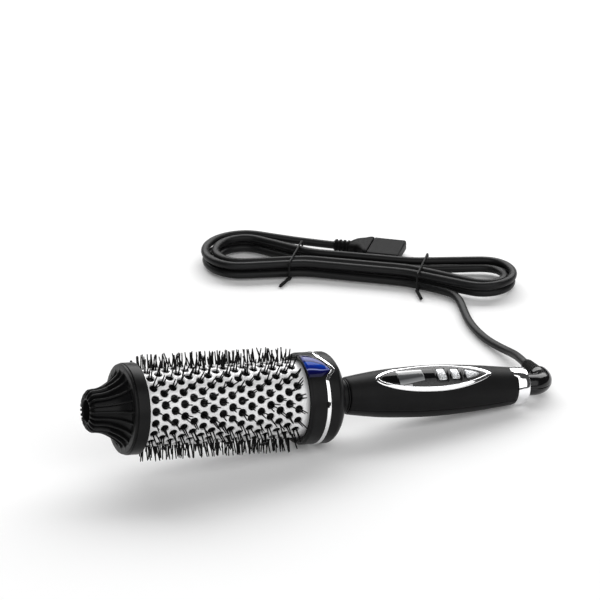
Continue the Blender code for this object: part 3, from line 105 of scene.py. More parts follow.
# %% Frames
MM = 0.001
ROLL = math.radians(26.0)
TILT = math.radians(6.976)
NOSE_AT = (-0.1453, 0.0, 0.043907)


def turn(axis, angle):
    """A 4 by 4 matrix that turns about one axis by the right-hand rule."""
    made = np.eye(4)
    a, b = [(1, 2), (2, 0), (0, 1)]["XYZ".index(axis)]
    made[a, a] = made[b, b] = math.cos(angle)
    made[a, b], made[b, a] = -math.sin(angle), math.sin(angle)
    return made


def shift(x, y, z):
    """A 4 by 4 matrix that moves by x, y and z."""
    made = np.eye(4)
    made[:3, 3] = (x, y, z)
    return made


def placed(points, matrix):
    """The points, an array whose last axis is x, y, z, seen from the room."""
    return points @ matrix[:3, :3].T + matrix[:3, 3]


ROOM = np.eye(4)
SWIVEL = shift(*NOSE_AT) @ turn("Y", TILT)
BRUSH = SWIVEL @ turn("X", ROLL)
HANK = shift(0.104, 0.205, 0.0) @ turn("Z", math.radians(-35.0))
PLUG = HANK @ shift(-0.020, 0.030, 0.0058) @ turn("Z", math.radians(-1.5))
print("brush axis:", np.round(BRUSH[:3, 0], 4))

# %% [markdown]
# ## From a formula to a mesh
#
# A surface is a grid of points: rows by columns. Neighbouring points make a quad. Where a
# surface closes on itself, its last row or column repeats the first, and where it ends in
# a pole, a whole row is one point; joining the doubled points closes both. Turning the
# faces outwards afterwards settles which side is which.

# %% Grids to meshes
WELD = 0.000002


def grid_quads(rows, columns):
    """Corner numbers of the quads between neighbouring rows and columns."""
    index = np.arange(rows * columns).reshape(rows, columns)
    corners = [index[:-1, :-1], index[:-1, 1:], index[1:, 1:], index[1:, :-1]]
    return np.stack(corners, axis=-1).reshape(-1, 4)


def surface(name, grids, look, matrix=BRUSH, body="brush", nodes=(), uv=None, sharp=38.0):
    """One piece from one or more grids, each an array (copies..., rows, columns, xyz).

    The UV map holds, unless given for one grid, the share of the way along its columns and
    rows. Edges that turn by more than sharp degrees stay sharp.
    """
    grids = grids if isinstance(grids, (list, tuple)) else [grids]
    points, quads, marks, start = [], [], [], 0
    given = uv
    for grid in grids:
        rows, columns = grid.shape[-3:-1]
        uv = given
        copies = grid.reshape(-1, rows * columns, 3)
        if uv is None:
            v, u = np.meshgrid(np.linspace(0, 1, rows), np.linspace(0, 1, columns), indexing="ij")
            uv = np.stack([u, v], axis=-1)
        uv = np.broadcast_to(uv.reshape(-1, rows * columns, 2), (len(copies), rows * columns, 2))
        base = grid_quads(rows, columns)
        steps = start + np.arange(len(copies)) * rows * columns
        points.append(copies.reshape(-1, 3))
        quads.append((base[None] + steps[:, None, None]).reshape(-1, 4))
        marks.append(uv.reshape(-1, 2))
        start += copies.shape[0] * rows * columns
    points, quads, marks = np.concatenate(points), np.concatenate(quads), np.concatenate(marks)
    points = placed(points, matrix)
    mesh = bpy.data.meshes.new(name)
    mesh.vertices.add(len(points))
    mesh.vertices.foreach_set("co", points.astype(np.float32).ravel())
    mesh.loops.add(quads.size)
    mesh.loops.foreach_set("vertex_index", quads.astype(np.int32).ravel())
    mesh.polygons.add(len(quads))
    mesh.polygons.foreach_set("loop_start", np.arange(0, quads.size, 4, dtype=np.int32))
    mesh.update(calc_edges=True)
    uv_map = mesh.uv_layers.new(name="surface")
    uv_map.data.foreach_set("uv", marks[quads.ravel()].astype(np.float32).ravel())
    shape = bmesh.new()
    shape.from_mesh(mesh)
    bmesh.ops.remove_doubles(shape, verts=shape.verts, dist=WELD)
    bmesh.ops.recalc_face_normals(shape, faces=shape.faces)
    shape.to_mesh(mesh)
    shape.free()
    mesh.shade_smooth()
    mesh.set_sharp_from_angle(angle=math.radians(sharp))
    mesh.materials.append(look)
    piece = bpy.data.objects.new(name, mesh)
    bpy.context.scene.collection.objects.link(piece)
    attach(piece, body)
    if nodes:
        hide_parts(*([nodes] if isinstance(nodes, str) else nodes))
    print(f"{name}: {len(mesh.polygons)} faces")
    return piece


# %% [markdown]
# ## Small tools for shapes
#
# Most of the brush is turned, as on a lathe: a line of (distance along the axis, radius)
# goes round. Real mouldings have no sharp corners, so each corner of such a line gets a
# small arc, and those arcs catch the light.

# %% Profiles, turned shapes and tubes
def rounded(corners, steps=6, closed=True):
    """Corners (x, r, size in millimetres) joined by straight lines, each corner replaced by
    a parabola that leaves the lines at the given size before and after it."""
    table = np.array(corners, float)
    p, size = table[:, :2], table[:, 2]
    back, ahead = np.roll(p, 1, axis=0) - p, np.roll(p, -1, axis=0) - p
    if not closed:
        back[0], ahead[-1] = ahead[0], back[-1]
    long_back, long_ahead = np.linalg.norm(back, axis=1), np.linalg.norm(ahead, axis=1)
    cut = np.minimum(size, 0.49 * np.minimum(long_back, long_ahead))[:, None]
    enter, leave = p + back / long_back[:, None] * cut, p + ahead / long_ahead[:, None] * cut
    t = np.linspace(0, 1, steps)[None, :, None]
    line = (1 - t) ** 2 * enter[:, None] + 2 * t * (1 - t) * p[:, None] + t ** 2 * leave[:, None]
    if not closed:
        line[0], line[-1] = p[0], p[-1]
    line = line.reshape(-1, 2) * MM
    return np.vstack([line, line[:1]]) if closed else line


def flowing(stations, count):
    """A smooth line through (x, r) stations: cubic pieces whose slope at each station is
    that of the line between its neighbours."""
    p = np.array(stations, float)
    slope = np.gradient(p, axis=0)
    place = np.linspace(0, len(p) - 1, count)
    i = np.minimum(place.astype(int), len(p) - 2)
    t = (place - i)[:, None]
    a, b, c, d = p[i], p[i + 1], slope[i], slope[i + 1]
    return (2 * t ** 3 - 3 * t ** 2 + 1) * a + (t ** 3 - 2 * t ** 2 + t) * c \
        + (3 * t ** 2 - 2 * t ** 3) * b + (t ** 3 - t ** 2) * d


def round_points(x, r, angle):
    """Points at distance x along the axis, radius r, and an angle from the keys' side."""
    x, r, angle = np.broadcast_arrays(x, r, angle)
    return np.stack([x, r * np.sin(angle), r * np.cos(angle)], axis=-1)


def turned(line, steps=144):
    """A line of (x, r) points turned once about the axis."""
    angle = np.linspace(0, 2 * math.pi, steps + 1)
    return round_points(line[:, :1], line[:, 1:2], angle[None])


def capped(grid):
    """A tube's grid with both ends closed: a row of one point, the mean of the end row."""
    first, last = (np.broadcast_to(row[..., :-1, :].mean(axis=-2, keepdims=True), row.shape)
                   for row in (grid[..., :1, :, :], grid[..., -1:, :, :]))
    return np.concatenate([first, grid, last], axis=-3)


def slab(top, bottom):
    """A closed solid between two like grids, one over the other."""
    return capped(np.concatenate([top, bottom[:, ::-1], top[:, :1]], axis=1))


def tube(path, radius, sides, closed=False):
    """A round tube along a path (points, xyz). The ring's first direction is carried along
    the path without twist, by taking away at each step what points forward."""
    path = np.asarray(path, float)
    ahead = np.gradient(path, axis=0)
    if closed:
        ahead[0] = ahead[-1] = path[1] - path[-2]
    ahead /= np.linalg.norm(ahead, axis=1)[:, None]
    side = np.zeros_like(path)
    guess = np.array([0.0, 0.0, 1.0]) if abs(ahead[0, 2]) < 0.9 else np.array([1.0, 0.0, 0.0])
    for k, forward in enumerate(ahead):
        guess = guess - forward * (guess @ forward)
        guess /= np.linalg.norm(guess)
        side[k] = guess
    if closed:
        side[-1] = side[0]
    other = np.cross(ahead, side)
    angle = np.linspace(0, 2 * math.pi, sides + 1)[None, :, None]
    radius = np.broadcast_to(np.asarray(radius, float).reshape(-1, 1, 1), (len(path), 1, 1))
    ring = np.cos(angle) * side[:, None] + np.sin(angle) * other[:, None]
    return path[:, None] + radius * ring


def run_of(path):
    """The distance walked along a path up to each of its points."""
    return np.concatenate([[0.0], np.cumsum(np.linalg.norm(np.diff(path, axis=0), axis=1))])


def even_steps(path, spacing):
    """The same path with points at an even spacing."""
    run = run_of(path)
    places = np.linspace(0, run[-1], max(2, round(run[-1] / spacing)) + 1)
    return np.stack([np.interp(places, run, path[:, k]) for k in range(3)], axis=1)


def calmed(path, width):
    """Each point becomes the mean of its neighbours within a few places; the ends stay."""
    kernel = np.hanning(width + 2)[1:-1]
    kernel /= kernel.sum()
    half = width // 2
    before = 2 * path[0] - path[half:0:-1]
    after = 2 * path[-1] - path[-2:-half - 2:-1]
    padded = np.vstack([before, path, after])
    return np.stack([np.convolve(line, kernel, mode="valid") for line in padded.T], axis=1)


# %% [markdown]
# ## Finishes
#
# Moulded plastic, rubber and plated metal are told apart by how they scatter a highlight.
# Each finish starts from one shader and adds a fine grain: it varies the roughness and
# lifts the surface by a few hundredths of a millimetre. A second, larger pattern keeps
# the colour from being dead even.

# %% Node tools and the general finish
def node(tree, kind, inputs=None, **settings):
    """A shader node. An input is given a value, or a socket to be linked from."""
    made = tree.nodes.new(kind)
    for key, value in settings.items():
        setattr(made, key, value)
    for key, value in (inputs or {}).items():
        if isinstance(value, bpy.types.NodeSocket):
            tree.links.new(value, made.inputs[key])
        else:
            made.inputs[key].default_value = value
    return made


def plain(name, colour, roughness, metallic=0.0, **sockets):
    """A Principled material and its node tree."""
    made = bpy.data.materials.new(name)
    made.use_nodes = True
    shader = made.node_tree.nodes["Principled BSDF"]
    shader.inputs["Base Color"].default_value = (*colour, 1.0)
    shader.inputs["Roughness"].default_value = roughness
    shader.inputs["Metallic"].default_value = metallic
    for key, value in sockets.items():
        shader.inputs[key.replace("_", " ")].default_value = value
    return made


def ramp_of(tree, factor, stops):
    """A colour that follows the factor through stops of (place, colour)."""
    ramp = node(tree, "ShaderNodeValToRGB", {"Fac": factor})
    steps = ramp.color_ramp.elements
    while len(steps) < len(stops):
        steps.new(0.5)
    for step, (place, colour) in zip(steps, stops):
        step.position, step.color = place, (*colour, 1.0)
    return ramp.outputs["Color"]


ROUGHNESS_SHARE = 0.12


def grained(name, colour, roughness, grain, lift, metallic=0.0, tone=0.12, patch=14.0, **sockets):
    """A finish with grain. grain and patch are the sizes of a grain and of a patch of colour
    and lift is a grain's height, in millimetres; tone is the share by which colour varies."""
    made = plain(name, colour, roughness, metallic, **sockets)
    tree = made.node_tree
    shader = tree.nodes["Principled BSDF"]
    where = node(tree, "ShaderNodeTexCoord").outputs["Object"]
    fine = node(tree, "ShaderNodeTexNoise", {"Vector": where, "Scale": 1 / (grain * MM), "Detail": 3.0})
    wide = node(tree, "ShaderNodeTexNoise", {"Vector": where, "Scale": 1 / (patch * MM), "Detail": 2.0})
    rough = node(tree, "ShaderNodeMapRange", {
        "Value": fine.outputs["Fac"], "From Min": 0.3, "From Max": 0.7,
        "To Min": roughness * (1 - ROUGHNESS_SHARE), "To Max": roughness * (1 + ROUGHNESS_SHARE)})
    tree.links.new(rough.outputs["Result"], shader.inputs["Roughness"])
    stops = [(place, tuple(min(1.0, c * share) for c in colour))
             for place, share in ((0.35, 1 - tone), (0.65, 1 + tone))]
    tree.links.new(ramp_of(tree, wide.outputs["Fac"], stops), shader.inputs["Base Color"])
    bump = node(tree, "ShaderNodeBump", {"Height": fine.outputs["Fac"], "Distance": lift * MM, "Strength": 1.0})
    tree.links.new(bump.outputs["Normal"], shader.inputs["Normal"])
    return made


def striped(name, stops, roughness, **sockets):
    """A finish whose colour follows u of the UV map through stops of (place, colour)."""
    made = plain(name, stops[0][1], roughness, **sockets)
    tree = made.node_tree
    marks = node(tree, "ShaderNodeUVMap", uv_map="surface")
    split = node(tree, "ShaderNodeSeparateXYZ", {0: marks.outputs["UV"]})
    tree.links.new(ramp_of(tree, split.outputs["X"], stops), tree.nodes["Principled BSDF"].inputs["Base Color"])
    return made


# %% The finishes of this brush
def grey(value, blue=0.0):
    """A grey, a little bluer where asked."""
    return value, value, value + blue


def black(name, value, roughness, grain, lift, shine, **options):
    """A nearly black plastic or rubber. shine is the strength of its mirror-like part."""
    return grained(name, grey(value, 0.0003), roughness, grain, lift, Specular_IOR_Level=shine, **options)


satin_black = black("satin_black", 0.0055, 0.36, 0.5, 0.006, 0.15)
# This black is darker than the collar's satin black: painted shade, for the catch that sits in a notch of the band.
catch_painted_shade_black = black("catch_painted_shade_black", 0.003, 0.45, 0.5, 0.006, 0.12)
soft_touch = black("soft_touch", 0.0042, 0.50, 0.22, 0.010, 0.15, tone=0.2)
nylon = black("black_nylon", 0.0025, 0.42, 0.3, 0.003, 0.1)
gloss_black = black("gloss_black", 0.005, 0.13, 1.5, 0.001, 0.35)
window_black = black("window_black", 0.003, 0.07, 3.0, 0.0006, 0.3)
plug_black = black("plug_black", 0.0035, 0.5, 0.4, 0.008, 0.08)
relief_black = black("relief_black", 0.008, 0.45, 0.3, 0.006, 0.15)
cord_black = black("cord_black", 0.0058, 0.42, 0.6, 0.008, 0.2)
tie_black = black("tie_black", 0.006, 0.5, 0.3, 0.008, 0.15)
panel_grey = black("panel_grey", 0.045, 0.28, 1.2, 0.002, 0.3)
coated_metal = grained("coated_metal", grey(0.95, 0.005), 0.30, 0.35, 0.004, metallic=0.10, tone=0.02,
                       Coat_Weight=0.6, Coat_Roughness=0.3)
chrome = grained("chrome", grey(0.93, 0.01), 0.05, 3.0, 0.0004, metallic=1.0, tone=0.01)
nickel = grained("nickel", (0.74, 0.73, 0.70), 0.2, 0.5, 0.002, metallic=1.0, tone=0.04)
print("finishes:", len(bpy.data.materials))

# %% [markdown]
# ## The cord
#
# The cord comes first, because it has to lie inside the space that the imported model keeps
# for it. It is one round cable of 5 mm: a lead from the strain relief, a long hank of
# about three and a half turns in two layers, and a short tail to the plug behind it. Each
# turn is four quarters: a run to the left, a bend, a run back and the other bend. The lane
# number says how far out a turn lies; it falls while the cord spirals in on the lower layer
# and rises again on the upper one.

# %% The hank's route
CORD_R = 2.5 * MM
TIE_R = 0.6 * MM
GAP = 0.3 * MM
LANE_STEP, LAYER_STEP = 6.6 * MM, 5.7 * MM
INNER_HALF_WIDTH = 3.3 * MM
HANK_LEFT, HANK_RIGHT = 71.0 * MM, 81.0 * MM
LEFT_INNER_R, RIGHT_INNER_R = 17.5 * MM, 15.0 * MM
WAIST_LEFT, WAIST_RIGHT = 30.0 * MM, 36.0 * MM
HANK_TURNS, TURNS_IN, CLIMB_TURNS, FIRST_SHARE = 3.46, 1.5, 0.5, 0.045


def lane_half_width(x, lane):
    """Half the hank's width at x: narrow at the waist, growing evenly towards both bends."""
    left = np.clip((-x - WAIST_LEFT) / (HANK_LEFT - WAIST_LEFT), 0, 1)
    right = np.clip((x - WAIST_RIGHT) / (HANK_RIGHT - WAIST_RIGHT), 0, 1)
    grow = (LEFT_INNER_R - INNER_HALF_WIDTH) * left + (RIGHT_INNER_R - INNER_HALF_WIDTH) * right
    return INNER_HALF_WIDTH + grow + lane * LANE_STEP


def hank_line(done):
    """Points of the hank after so many turns, in the hank's own frame."""
    lane = np.maximum(np.maximum(TURNS_IN - done, done - TURNS_IN - CLIMB_TURNS), 0.0)
    climb = np.clip((done - TURNS_IN) / CLIMB_TURNS, 0.0, 1.0)
    quarter, share = np.divmod(4 * ((FIRST_SHARE + done) % 1.0), 1.0)
    length = HANK_RIGHT + HANK_LEFT
    near_x, far_x = HANK_RIGHT - length * share, length * share - HANK_LEFT
    left_r, right_r = LEFT_INNER_R + lane * LANE_STEP, RIGHT_INNER_R + lane * LANE_STEP
    bend = math.pi * share
    x = np.select([quarter == 0, quarter == 1, quarter == 2],
                  [near_x, -HANK_LEFT - left_r * np.sin(bend), far_x], HANK_RIGHT + right_r * np.sin(bend))
    y = np.select([quarter == 0, quarter == 1, quarter == 2],
                  [-lane_half_width(near_x, lane), -left_r * np.cos(bend), lane_half_width(far_x, lane)],
                  right_r * np.cos(bend))
    z = 2 * TIE_R + GAP + CORD_R + LAYER_STEP * climb
    return np.stack([x, y, z], axis=1)


hank_points = placed(hank_line(np.linspace(0, HANK_TURNS, 520)), HANK)
print(f"hank: {run_of(hank_points)[-1]:.3f} m of cord")

# %% The whole route, and the cord
RING_END = 271.6 * MM
ELBOW_REACH, ELBOW_OUT, RELIEF_LENGTH = 16.0 * MM, 13.0 * MM, 16.0 * MM
ROUGH_STEP, FINE_STEP, CALM_WIDTH, CORD_SIDES = 2.0 * MM, 1.6 * MM, 9, 18
LEAD = ((0.1412, 0.0430, 0.0078), (0.1415, 0.0530, 0.0058), (0.1402, 0.0640, 0.0042),
        (0.1385, 0.0750, 0.0034), (0.1376, 0.0860, 0.0032), (0.1379, 0.0980, 0.0032),
        (0.1394, 0.1100, 0.0032), (0.1422, 0.1215, 0.0032), (0.1450, 0.1320, 0.0034),
        (0.1466, 0.1405, 0.0037), (0.1465, 0.1475, 0.0039))
TAIL = ((-0.0540, 0.0262, 0.0088), (-0.0450, 0.0282, 0.0073), (-0.0360, 0.0296, 0.0064))

cord_exit = placed(np.array([RING_END + ELBOW_REACH, ELBOW_OUT + RELIEF_LENGTH + 2 * GAP, 0.0]), SWIVEL)
start = np.array([cord_exit, cord_exit + [0.0, 2 * CORD_R, 0.0]])
hank_end = placed(np.array([[0.0, 0.0, 0.0], [-CORD_R * 2, 0.0, 0.0]]), PLUG)[::-1]
route = np.vstack([start, LEAD, hank_points, placed(np.array(TAIL), HANK), hank_end])
cord_path = even_steps(calmed(even_steps(route, ROUGH_STEP), CALM_WIDTH), FINE_STEP)
cord_uv = np.stack(np.meshgrid(np.linspace(0, 1, CORD_SIDES + 1), run_of(cord_path)), axis=-1)
cord_uv = np.concatenate([cord_uv[:1], cord_uv, cord_uv[-1:]])
cord = surface("cord", capped(tube(cord_path, CORD_R, CORD_SIDES)), cord_black, ROOM, "cord",
               ("cord_lead", "cord_hank", "cord_tail"), cord_uv)

# %% [markdown]
# ## Ties
#
# Two plastic-coated wires hold the hank. Each goes round the bundle as a rounded
# rectangle, and its two ends are twisted together beside it.

# %% Ties
TIE_BEND = 2.4 * MM
TIES = (("cord_tie_front", 44.0 * MM, (0.45, -0.9, -0.1)), ("cord_tie_rear", -38.0 * MM, (-0.3, -0.95, -0.1)))
TWIST_TURNS, TWIST_LENGTH, TWIST_HEIGHT = 5, 11.0 * MM, 2.6 * MM


def tie_path(x, near, far, low, high):
    """A rounded rectangle in the plane across the hank at x: four quarter circles."""
    quarter = np.radians(np.linspace(0, 90, 10))
    turns = []
    for y, z, begin in ((far, low, -90), (far, high, 0), (near, high, 90), (near, low, 180)):
        angle = quarter + math.radians(begin)
        turns.append(np.stack([x + 0 * angle, y + TIE_BEND * np.cos(angle), z + TIE_BEND * np.sin(angle)], axis=1))
    return np.vstack(turns + [turns[0][:1]])


def twisted_ends(at, along):
    """Two wires wound round each other: two helices half a turn apart."""
    t = np.linspace(0, 1, 60)
    along = np.array(along) / np.linalg.norm(along)
    side = np.cross(along, [0.0, 0.0, 1.0])
    up = np.cross(side, along)
    made = []
    for begin in (0.0, math.pi):
        a = 2 * math.pi * TWIST_TURNS * t + begin
        offset = TIE_R * 0.95 * (np.cos(a)[:, None] * side + np.sin(a)[:, None] * up)
        middle = np.array(at) + t[:, None] * along * TWIST_LENGTH
        made.append(capped(tube(middle + offset, TIE_R * 0.9, 8)))
    return made


for name, x, along in TIES:
    packed = np.array([corner.co for corner in frame["nodes"][name].data.vertices])
    (_, near, low), (_, far, high) = (pick(placed(packed, np.linalg.inv(HANK)), axis=0) for pick in (np.min, np.max))
    inset = TIE_R + TIE_BEND
    path = tie_path(x, near + inset, far - inset, low + inset, high - inset)
    grids = [tube(path, TIE_R, 12, closed=True)] + twisted_ends((x, near, TWIST_HEIGHT), along)
    surface(f"wire_{name}", grids, tie_black, HANK, "cord", name)

# %% [markdown]
# ## Plug
#
# The plug is one moulding: a ribbed relief that grips the cord, and a body that widens
# towards its face. Its cross-section is a superellipse, |y/w|^n + |z/h|^n = 1, whose
# corners get squarer as n grows from 2 at the cord to 5 at the face. A flat cover is pushed
# over the two round pins.

# %% Plug and pins
def squarish(x, half_width, half_height, power, sides=64):
    """Superellipse rings: y = w cos^(2/n) a, z = h sin^(2/n) a, with their signs kept."""
    a = np.linspace(0, 2 * math.pi, sides + 1)[None]
    share = 2 / power[:, None]
    y = half_width[:, None] * np.sign(np.cos(a)) * np.abs(np.cos(a)) ** share
    z = half_height[:, None] * np.sign(np.sin(a)) * np.abs(np.sin(a)) ** share
    return np.stack([np.broadcast_to(x[:, None], y.shape), y, z], axis=-1)


COVER_POWER = 9.0
plug_stations = np.array([
    # x, half width, half height, power
    (10.0, 3.9, 3.2, 2.2), (12.0, 5.4, 4.2, 2.4), (14.5, 7.0, 5.0, 2.8), (17.0, 7.7, 5.2, 3.4),
    (19.5, 9.6, 4.9, 4.2), (21.5, 11.7, 4.6, 5.0), (22.8, 12.4, 4.4, 5.0), (23.7, 12.2, 4.2, 5.0),
    (24.0, 11.6, 3.9, 5.0)])
plug_x, plug_w, plug_h, plug_power = flowing(plug_stations, 60).T
body_grid = capped(squarish(plug_x * MM, plug_w * MM, plug_h * MM, plug_power))
relief_x = np.linspace(0.0, 11.0, 70) * MM
relief_r = (3.7 + 0.35 * np.clip(3 * np.cos(2 * math.pi * relief_x / (2.75 * MM) + math.pi), -1, 1)
            - 0.5 * np.exp(-relief_x / (0.4 * MM))) * MM
relief_path = np.stack([relief_x, 0 * relief_x, 0 * relief_x], axis=1)
surface("plug_moulding", [body_grid, capped(tube(relief_path, relief_r, 40))], plug_black,
                           PLUG, "cord", "plug_body")

PIN_LINE = rounded([(21.3, 0.0, 0.0), (21.3, 2.0, 0.1), (42.9, 2.0, 1.6), (43.0, 0.0, 0.0)], closed=False)
for name, y in (("plug_pin_left", 9.3 * MM), ("plug_pin_right", -9.3 * MM)):
    grid = turned(PIN_LINE, 40) + [0.0, y, 0.0]
    surface(f"round_{name}", grid, nickel, PLUG, "cord", name)

# %% Cover of the pins
cover_line = np.array([
    # x, half width, half height: up the pocket, round its open edge and along the outside
    (43.2, 0.01, 0.01), (43.2, 11.5, 2.2), (24.5, 11.6, 2.3), (24.3, 11.8, 2.5), (24.3, 12.4, 3.1),
    (24.5, 12.6, 3.3), (43.3, 12.6, 3.3), (44.3, 12.3, 3.1), (44.8, 11.3, 2.5), (44.8, 0.01, 0.01)])
cover_x, cover_w, cover_h = (cover_line * MM).T
cover_grid = capped(squarish(cover_x, cover_w, cover_h, np.full(len(cover_x), COVER_POWER), 96))
surface("pin_cover", cover_grid, plug_black, PLUG, "cord", "plug_cover")

# %% [markdown]
# ## Cool tip
#
# The tip lets the user hold the hot brush at its far end, so it is full of thin fins with
# deep gaps. Two lines describe it: one over a fin and one along the floor of a gap. Both
# have the same number of points, and each column of the grid takes one of them. The fins
# keep the same thickness from end to end, so a column's angle is the fin's middle plus
# its offset divided by the radius.

# %% Cool tip
FINS = 20
FIN_LINE = [(20.55, 22.4), (20.35, 21.8), (19.6, 20.4), (18.6, 19.1), (17.0, 17.6), (15.0, 16.1), (13.0, 14.9),
            (11.0, 13.8), (9.0, 13.05), (7.0, 12.6), (5.4, 12.42), (4.0, 12.35), (2.9, 12.1), (1.9, 11.5),
            (1.0, 10.5), (0.35, 9.3), (0.0, 8.2), (0.1, 7.5), (0.45, 7.0)]
FLOOR_LINE = [(20.55, 22.4), (20.7, 21.5), (20.8, 20.4), (20.2, 18.6), (18.2, 16.0), (16.0, 13.9), (13.8, 12.4),
              (11.6, 11.3), (9.4, 10.6), (7.4, 10.1), (5.7, 9.8), (4.5, 9.6), (3.7, 9.45), (3.0, 9.2),
              (2.4, 8.8), (1.9, 8.3), (1.5, 7.9), (1.1, 7.4), (0.7, 7.0)]
outside = rounded([(29.5, 22.3, 0.2), (29.5, 25.9, 0.6), (22.7, 25.9, 0.3), (22.45, 25.2, 0.1),
                   (22.1, 25.2, 0.1), (21.9, 25.55, 0.2), (20.9, 25.3, 0.8), (20.55, 22.4, 0.0)], closed=False)
inside = rounded([(0.45, 7.2, 0.0), (0.3, 6.8, 0.3), (0.8, 6.25, 0.4), (15.0, 6.1, 0.4), (15.0, 2.1, 0.2),
                  (24.3, 2.1, 0.2), (24.3, 20.0, 0.2), (24.6, 22.3, 0.0)], closed=False)
over_fin = np.vstack([outside, flowing(FIN_LINE, 64) * MM, inside, outside[:1]])
in_gap = np.vstack([outside, flowing(FLOOR_LINE, 64) * MM, inside, outside[:1]])

top_offsets = np.array([-0.50, -0.36, -0.14, 0.14, 0.36, 0.50]) * MM
top_drop = np.array([0.14, 0.03, 0.0, 0.0, 0.03, 0.14]) * MM
foot = 0.62 * MM
period = 2 * math.pi / FINS
fin_height = np.hypot(*(over_fin - in_gap).T)[:, None]
foot_a = foot / np.maximum(in_gap[:, 1:], MM)
gap_a = foot_a + np.linspace(0, 1, 7) * (period - 2 * foot_a)
one_x = np.hstack([over_fin[:, :1] + 0 * top_drop, in_gap[:, :1] + 0 * gap_a])
one_r = np.hstack([over_fin[:, 1:] - top_drop * np.clip(fin_height / MM, 0, 1), in_gap[:, 1:] + 0 * gap_a])
one_a = np.hstack([top_offsets / np.maximum(over_fin[:, 1:], MM), gap_a])
fin_middles = (np.arange(FINS) + 0.5) * period
tip = round_points(np.tile(one_x, FINS), np.tile(one_r, FINS), np.hstack([one_a + a for a in fin_middles]))
tip = np.concatenate([tip, tip[:, :1]], axis=1)
surface("finned_tip", tip, satin_black, nodes="cool_tip", sharp=50)

# %% [markdown]
# ## Barrel
#
# The sleeve is a punched sheet. It is tiled with rectangles, each with one round hole:
# the grid of a tile runs from its border on the inside, over the hole's edge, to its
# border on the outside. The columns of tiles are staggered by half a tile, and since each
# border has six even steps, the points of neighbouring tiles still meet.

# %% Barrel
BARREL_R, BARREL_WALL, HOLE_R = 22.0 * MM, 1.2 * MM, 2.42 * MM
BARREL_START, BARREL_END = 24.9 * MM, 129.3 * MM
HOLES_AROUND, HOLE_COLUMNS, COLUMN_PITCH, FIRST_COLUMN = 20, 16, 5.74 * MM, 34.1 * MM
ROW_STEP = 2 * math.pi / HOLES_AROUND

column, row = np.meshgrid(np.arange(HOLE_COLUMNS), np.arange(HOLES_AROUND), indexing="ij")
hole_x = (FIRST_COLUMN + column * COLUMN_PITCH).ravel()
stagger = 0.5 * ((HOLE_COLUMNS - 1 - column) % 2 == 0)
hole_a = (math.pi + (row + stagger) * ROW_STEP).ravel() + ROLL

side = np.linspace(-1, 1, 7)[:-1]
ones = np.ones(6)
border_x = np.concatenate([side, ones, -side, -ones, [-1.0]]) * COLUMN_PITCH / 2
border_y = np.concatenate([-ones, side, ones, -side, [-1.0]]) * ROW_STEP / 2 * BARREL_R
toward = np.arctan2(border_y, border_x)
rim_x, rim_y = np.cos(toward), np.sin(toward)
ring_sizes = [  # radius and depth under the skin, from the inside out
    (HOLE_R, BARREL_WALL), (HOLE_R, 0.28 * MM), (HOLE_R + 0.08 * MM, 0.08 * MM), (HOLE_R + 0.26 * MM, 0.0)]
tile_x, tile_y = (np.stack([border] + [rim * r for r, _ in ring_sizes] + [border])
                  for border, rim in ((border_x, rim_x), (border_y, rim_y)))
tile_deep = np.array([BARREL_WALL] + [deep for _, deep in ring_sizes] + [0.0])[:, None]
tiles = round_points(hole_x[:, None, None] + tile_x, BARREL_R - tile_deep + 0 * tile_x,
                     hole_a[:, None, None] + tile_y / BARREL_R)
band_a = hole_a[0] - ROW_STEP / 2 + np.linspace(0, 2 * math.pi, 6 * HOLES_AROUND + 1)[None]
first_edge = FIRST_COLUMN - COLUMN_PITCH / 2
last_edge = FIRST_COLUMN + (HOLE_COLUMNS - 0.5) * COLUMN_PITCH
inner_r = BARREL_R - BARREL_WALL
bands = [round_points(np.array([[edge], [end], [end], [edge]]),
                      np.array([[BARREL_R], [BARREL_R], [inner_r], [inner_r]]), band_a)
         for edge, end in ((first_edge, BARREL_START), (last_edge, BARREL_END))]
surface("punched_barrel", [tiles] + bands, coated_metal, nodes="barrel")

# %% [markdown]
# ## Bristles
#
# Ten strips lie inside the sleeve, and nylon strands stand on them through the holes: one
# to three to a hole, leaning a little apart. A strand is a slim cone with a round end. No
# two lean alike, so a seeded generator picks the lean, and the strands that would go
# through the table are only as long as the table allows.

# %% Bristles
STRIP_COUNT = 10
BRISTLE_TIP_R = 30.4 * MM
STRIP_R = inner_r - GAP
ROOT_DEEP, TABLE_GAP = 0.4 * MM, 0.05 * MM
LEAN = 5.5  # degrees, the standard deviation
chance = np.random.default_rng(7)


def strands_of(x, angle):
    """Strands through holes at (x, angle): each is five rings, the last almost a point."""
    count = len(x)
    lean_x, lean_a = (np.tan(np.radians(chance.normal(0.0, LEAN, count)))[:, None] for _ in range(2))
    root = round_points(x, STRIP_R - ROOT_DEEP, angle)
    outward = round_points(0 * x, 1.0, angle)
    sideways = round_points(0 * x, 1.0, angle + math.pi / 2)
    along = np.array([1.0, 0.0, 0.0])
    direction = outward + lean_x * along + lean_a * sideways
    direction /= np.linalg.norm(direction, axis=1)[:, None]
    height = BRISTLE_TIP_R - STRIP_R + ROOT_DEEP + chance.uniform(-0.7 * MM, 0.1 * MM, count)
    reach = height / np.sum(direction * outward, axis=1)
    root_z = placed(root, BRUSH)[:, 2]
    tip_z = placed(root + direction * reach[:, None], BRUSH)[:, 2]
    reach *= np.where(tip_z < TABLE_GAP, (root_z - TABLE_GAP) / np.maximum(root_z - tip_z, MM), 1.0)
    share = np.array([0.0, 0.5, 0.93, 0.985, 1.0])
    radius = np.array([0.46, 0.40, 0.34, 0.24, 0.02]) * MM
    a = np.linspace(0, 2 * math.pi, 7)
    first = np.cross(direction, along)
    first /= np.linalg.norm(first, axis=1)[:, None]
    second = np.cross(direction, first)
    ring = np.cos(a)[:, None] * first[:, None, None] + np.sin(a)[:, None] * second[:, None, None]
    middle = root[:, None] + share[None, :, None] * (direction * reach[:, None])[:, None]
    return capped(middle[:, :, None] + radius[None, :, None, None] * ring)


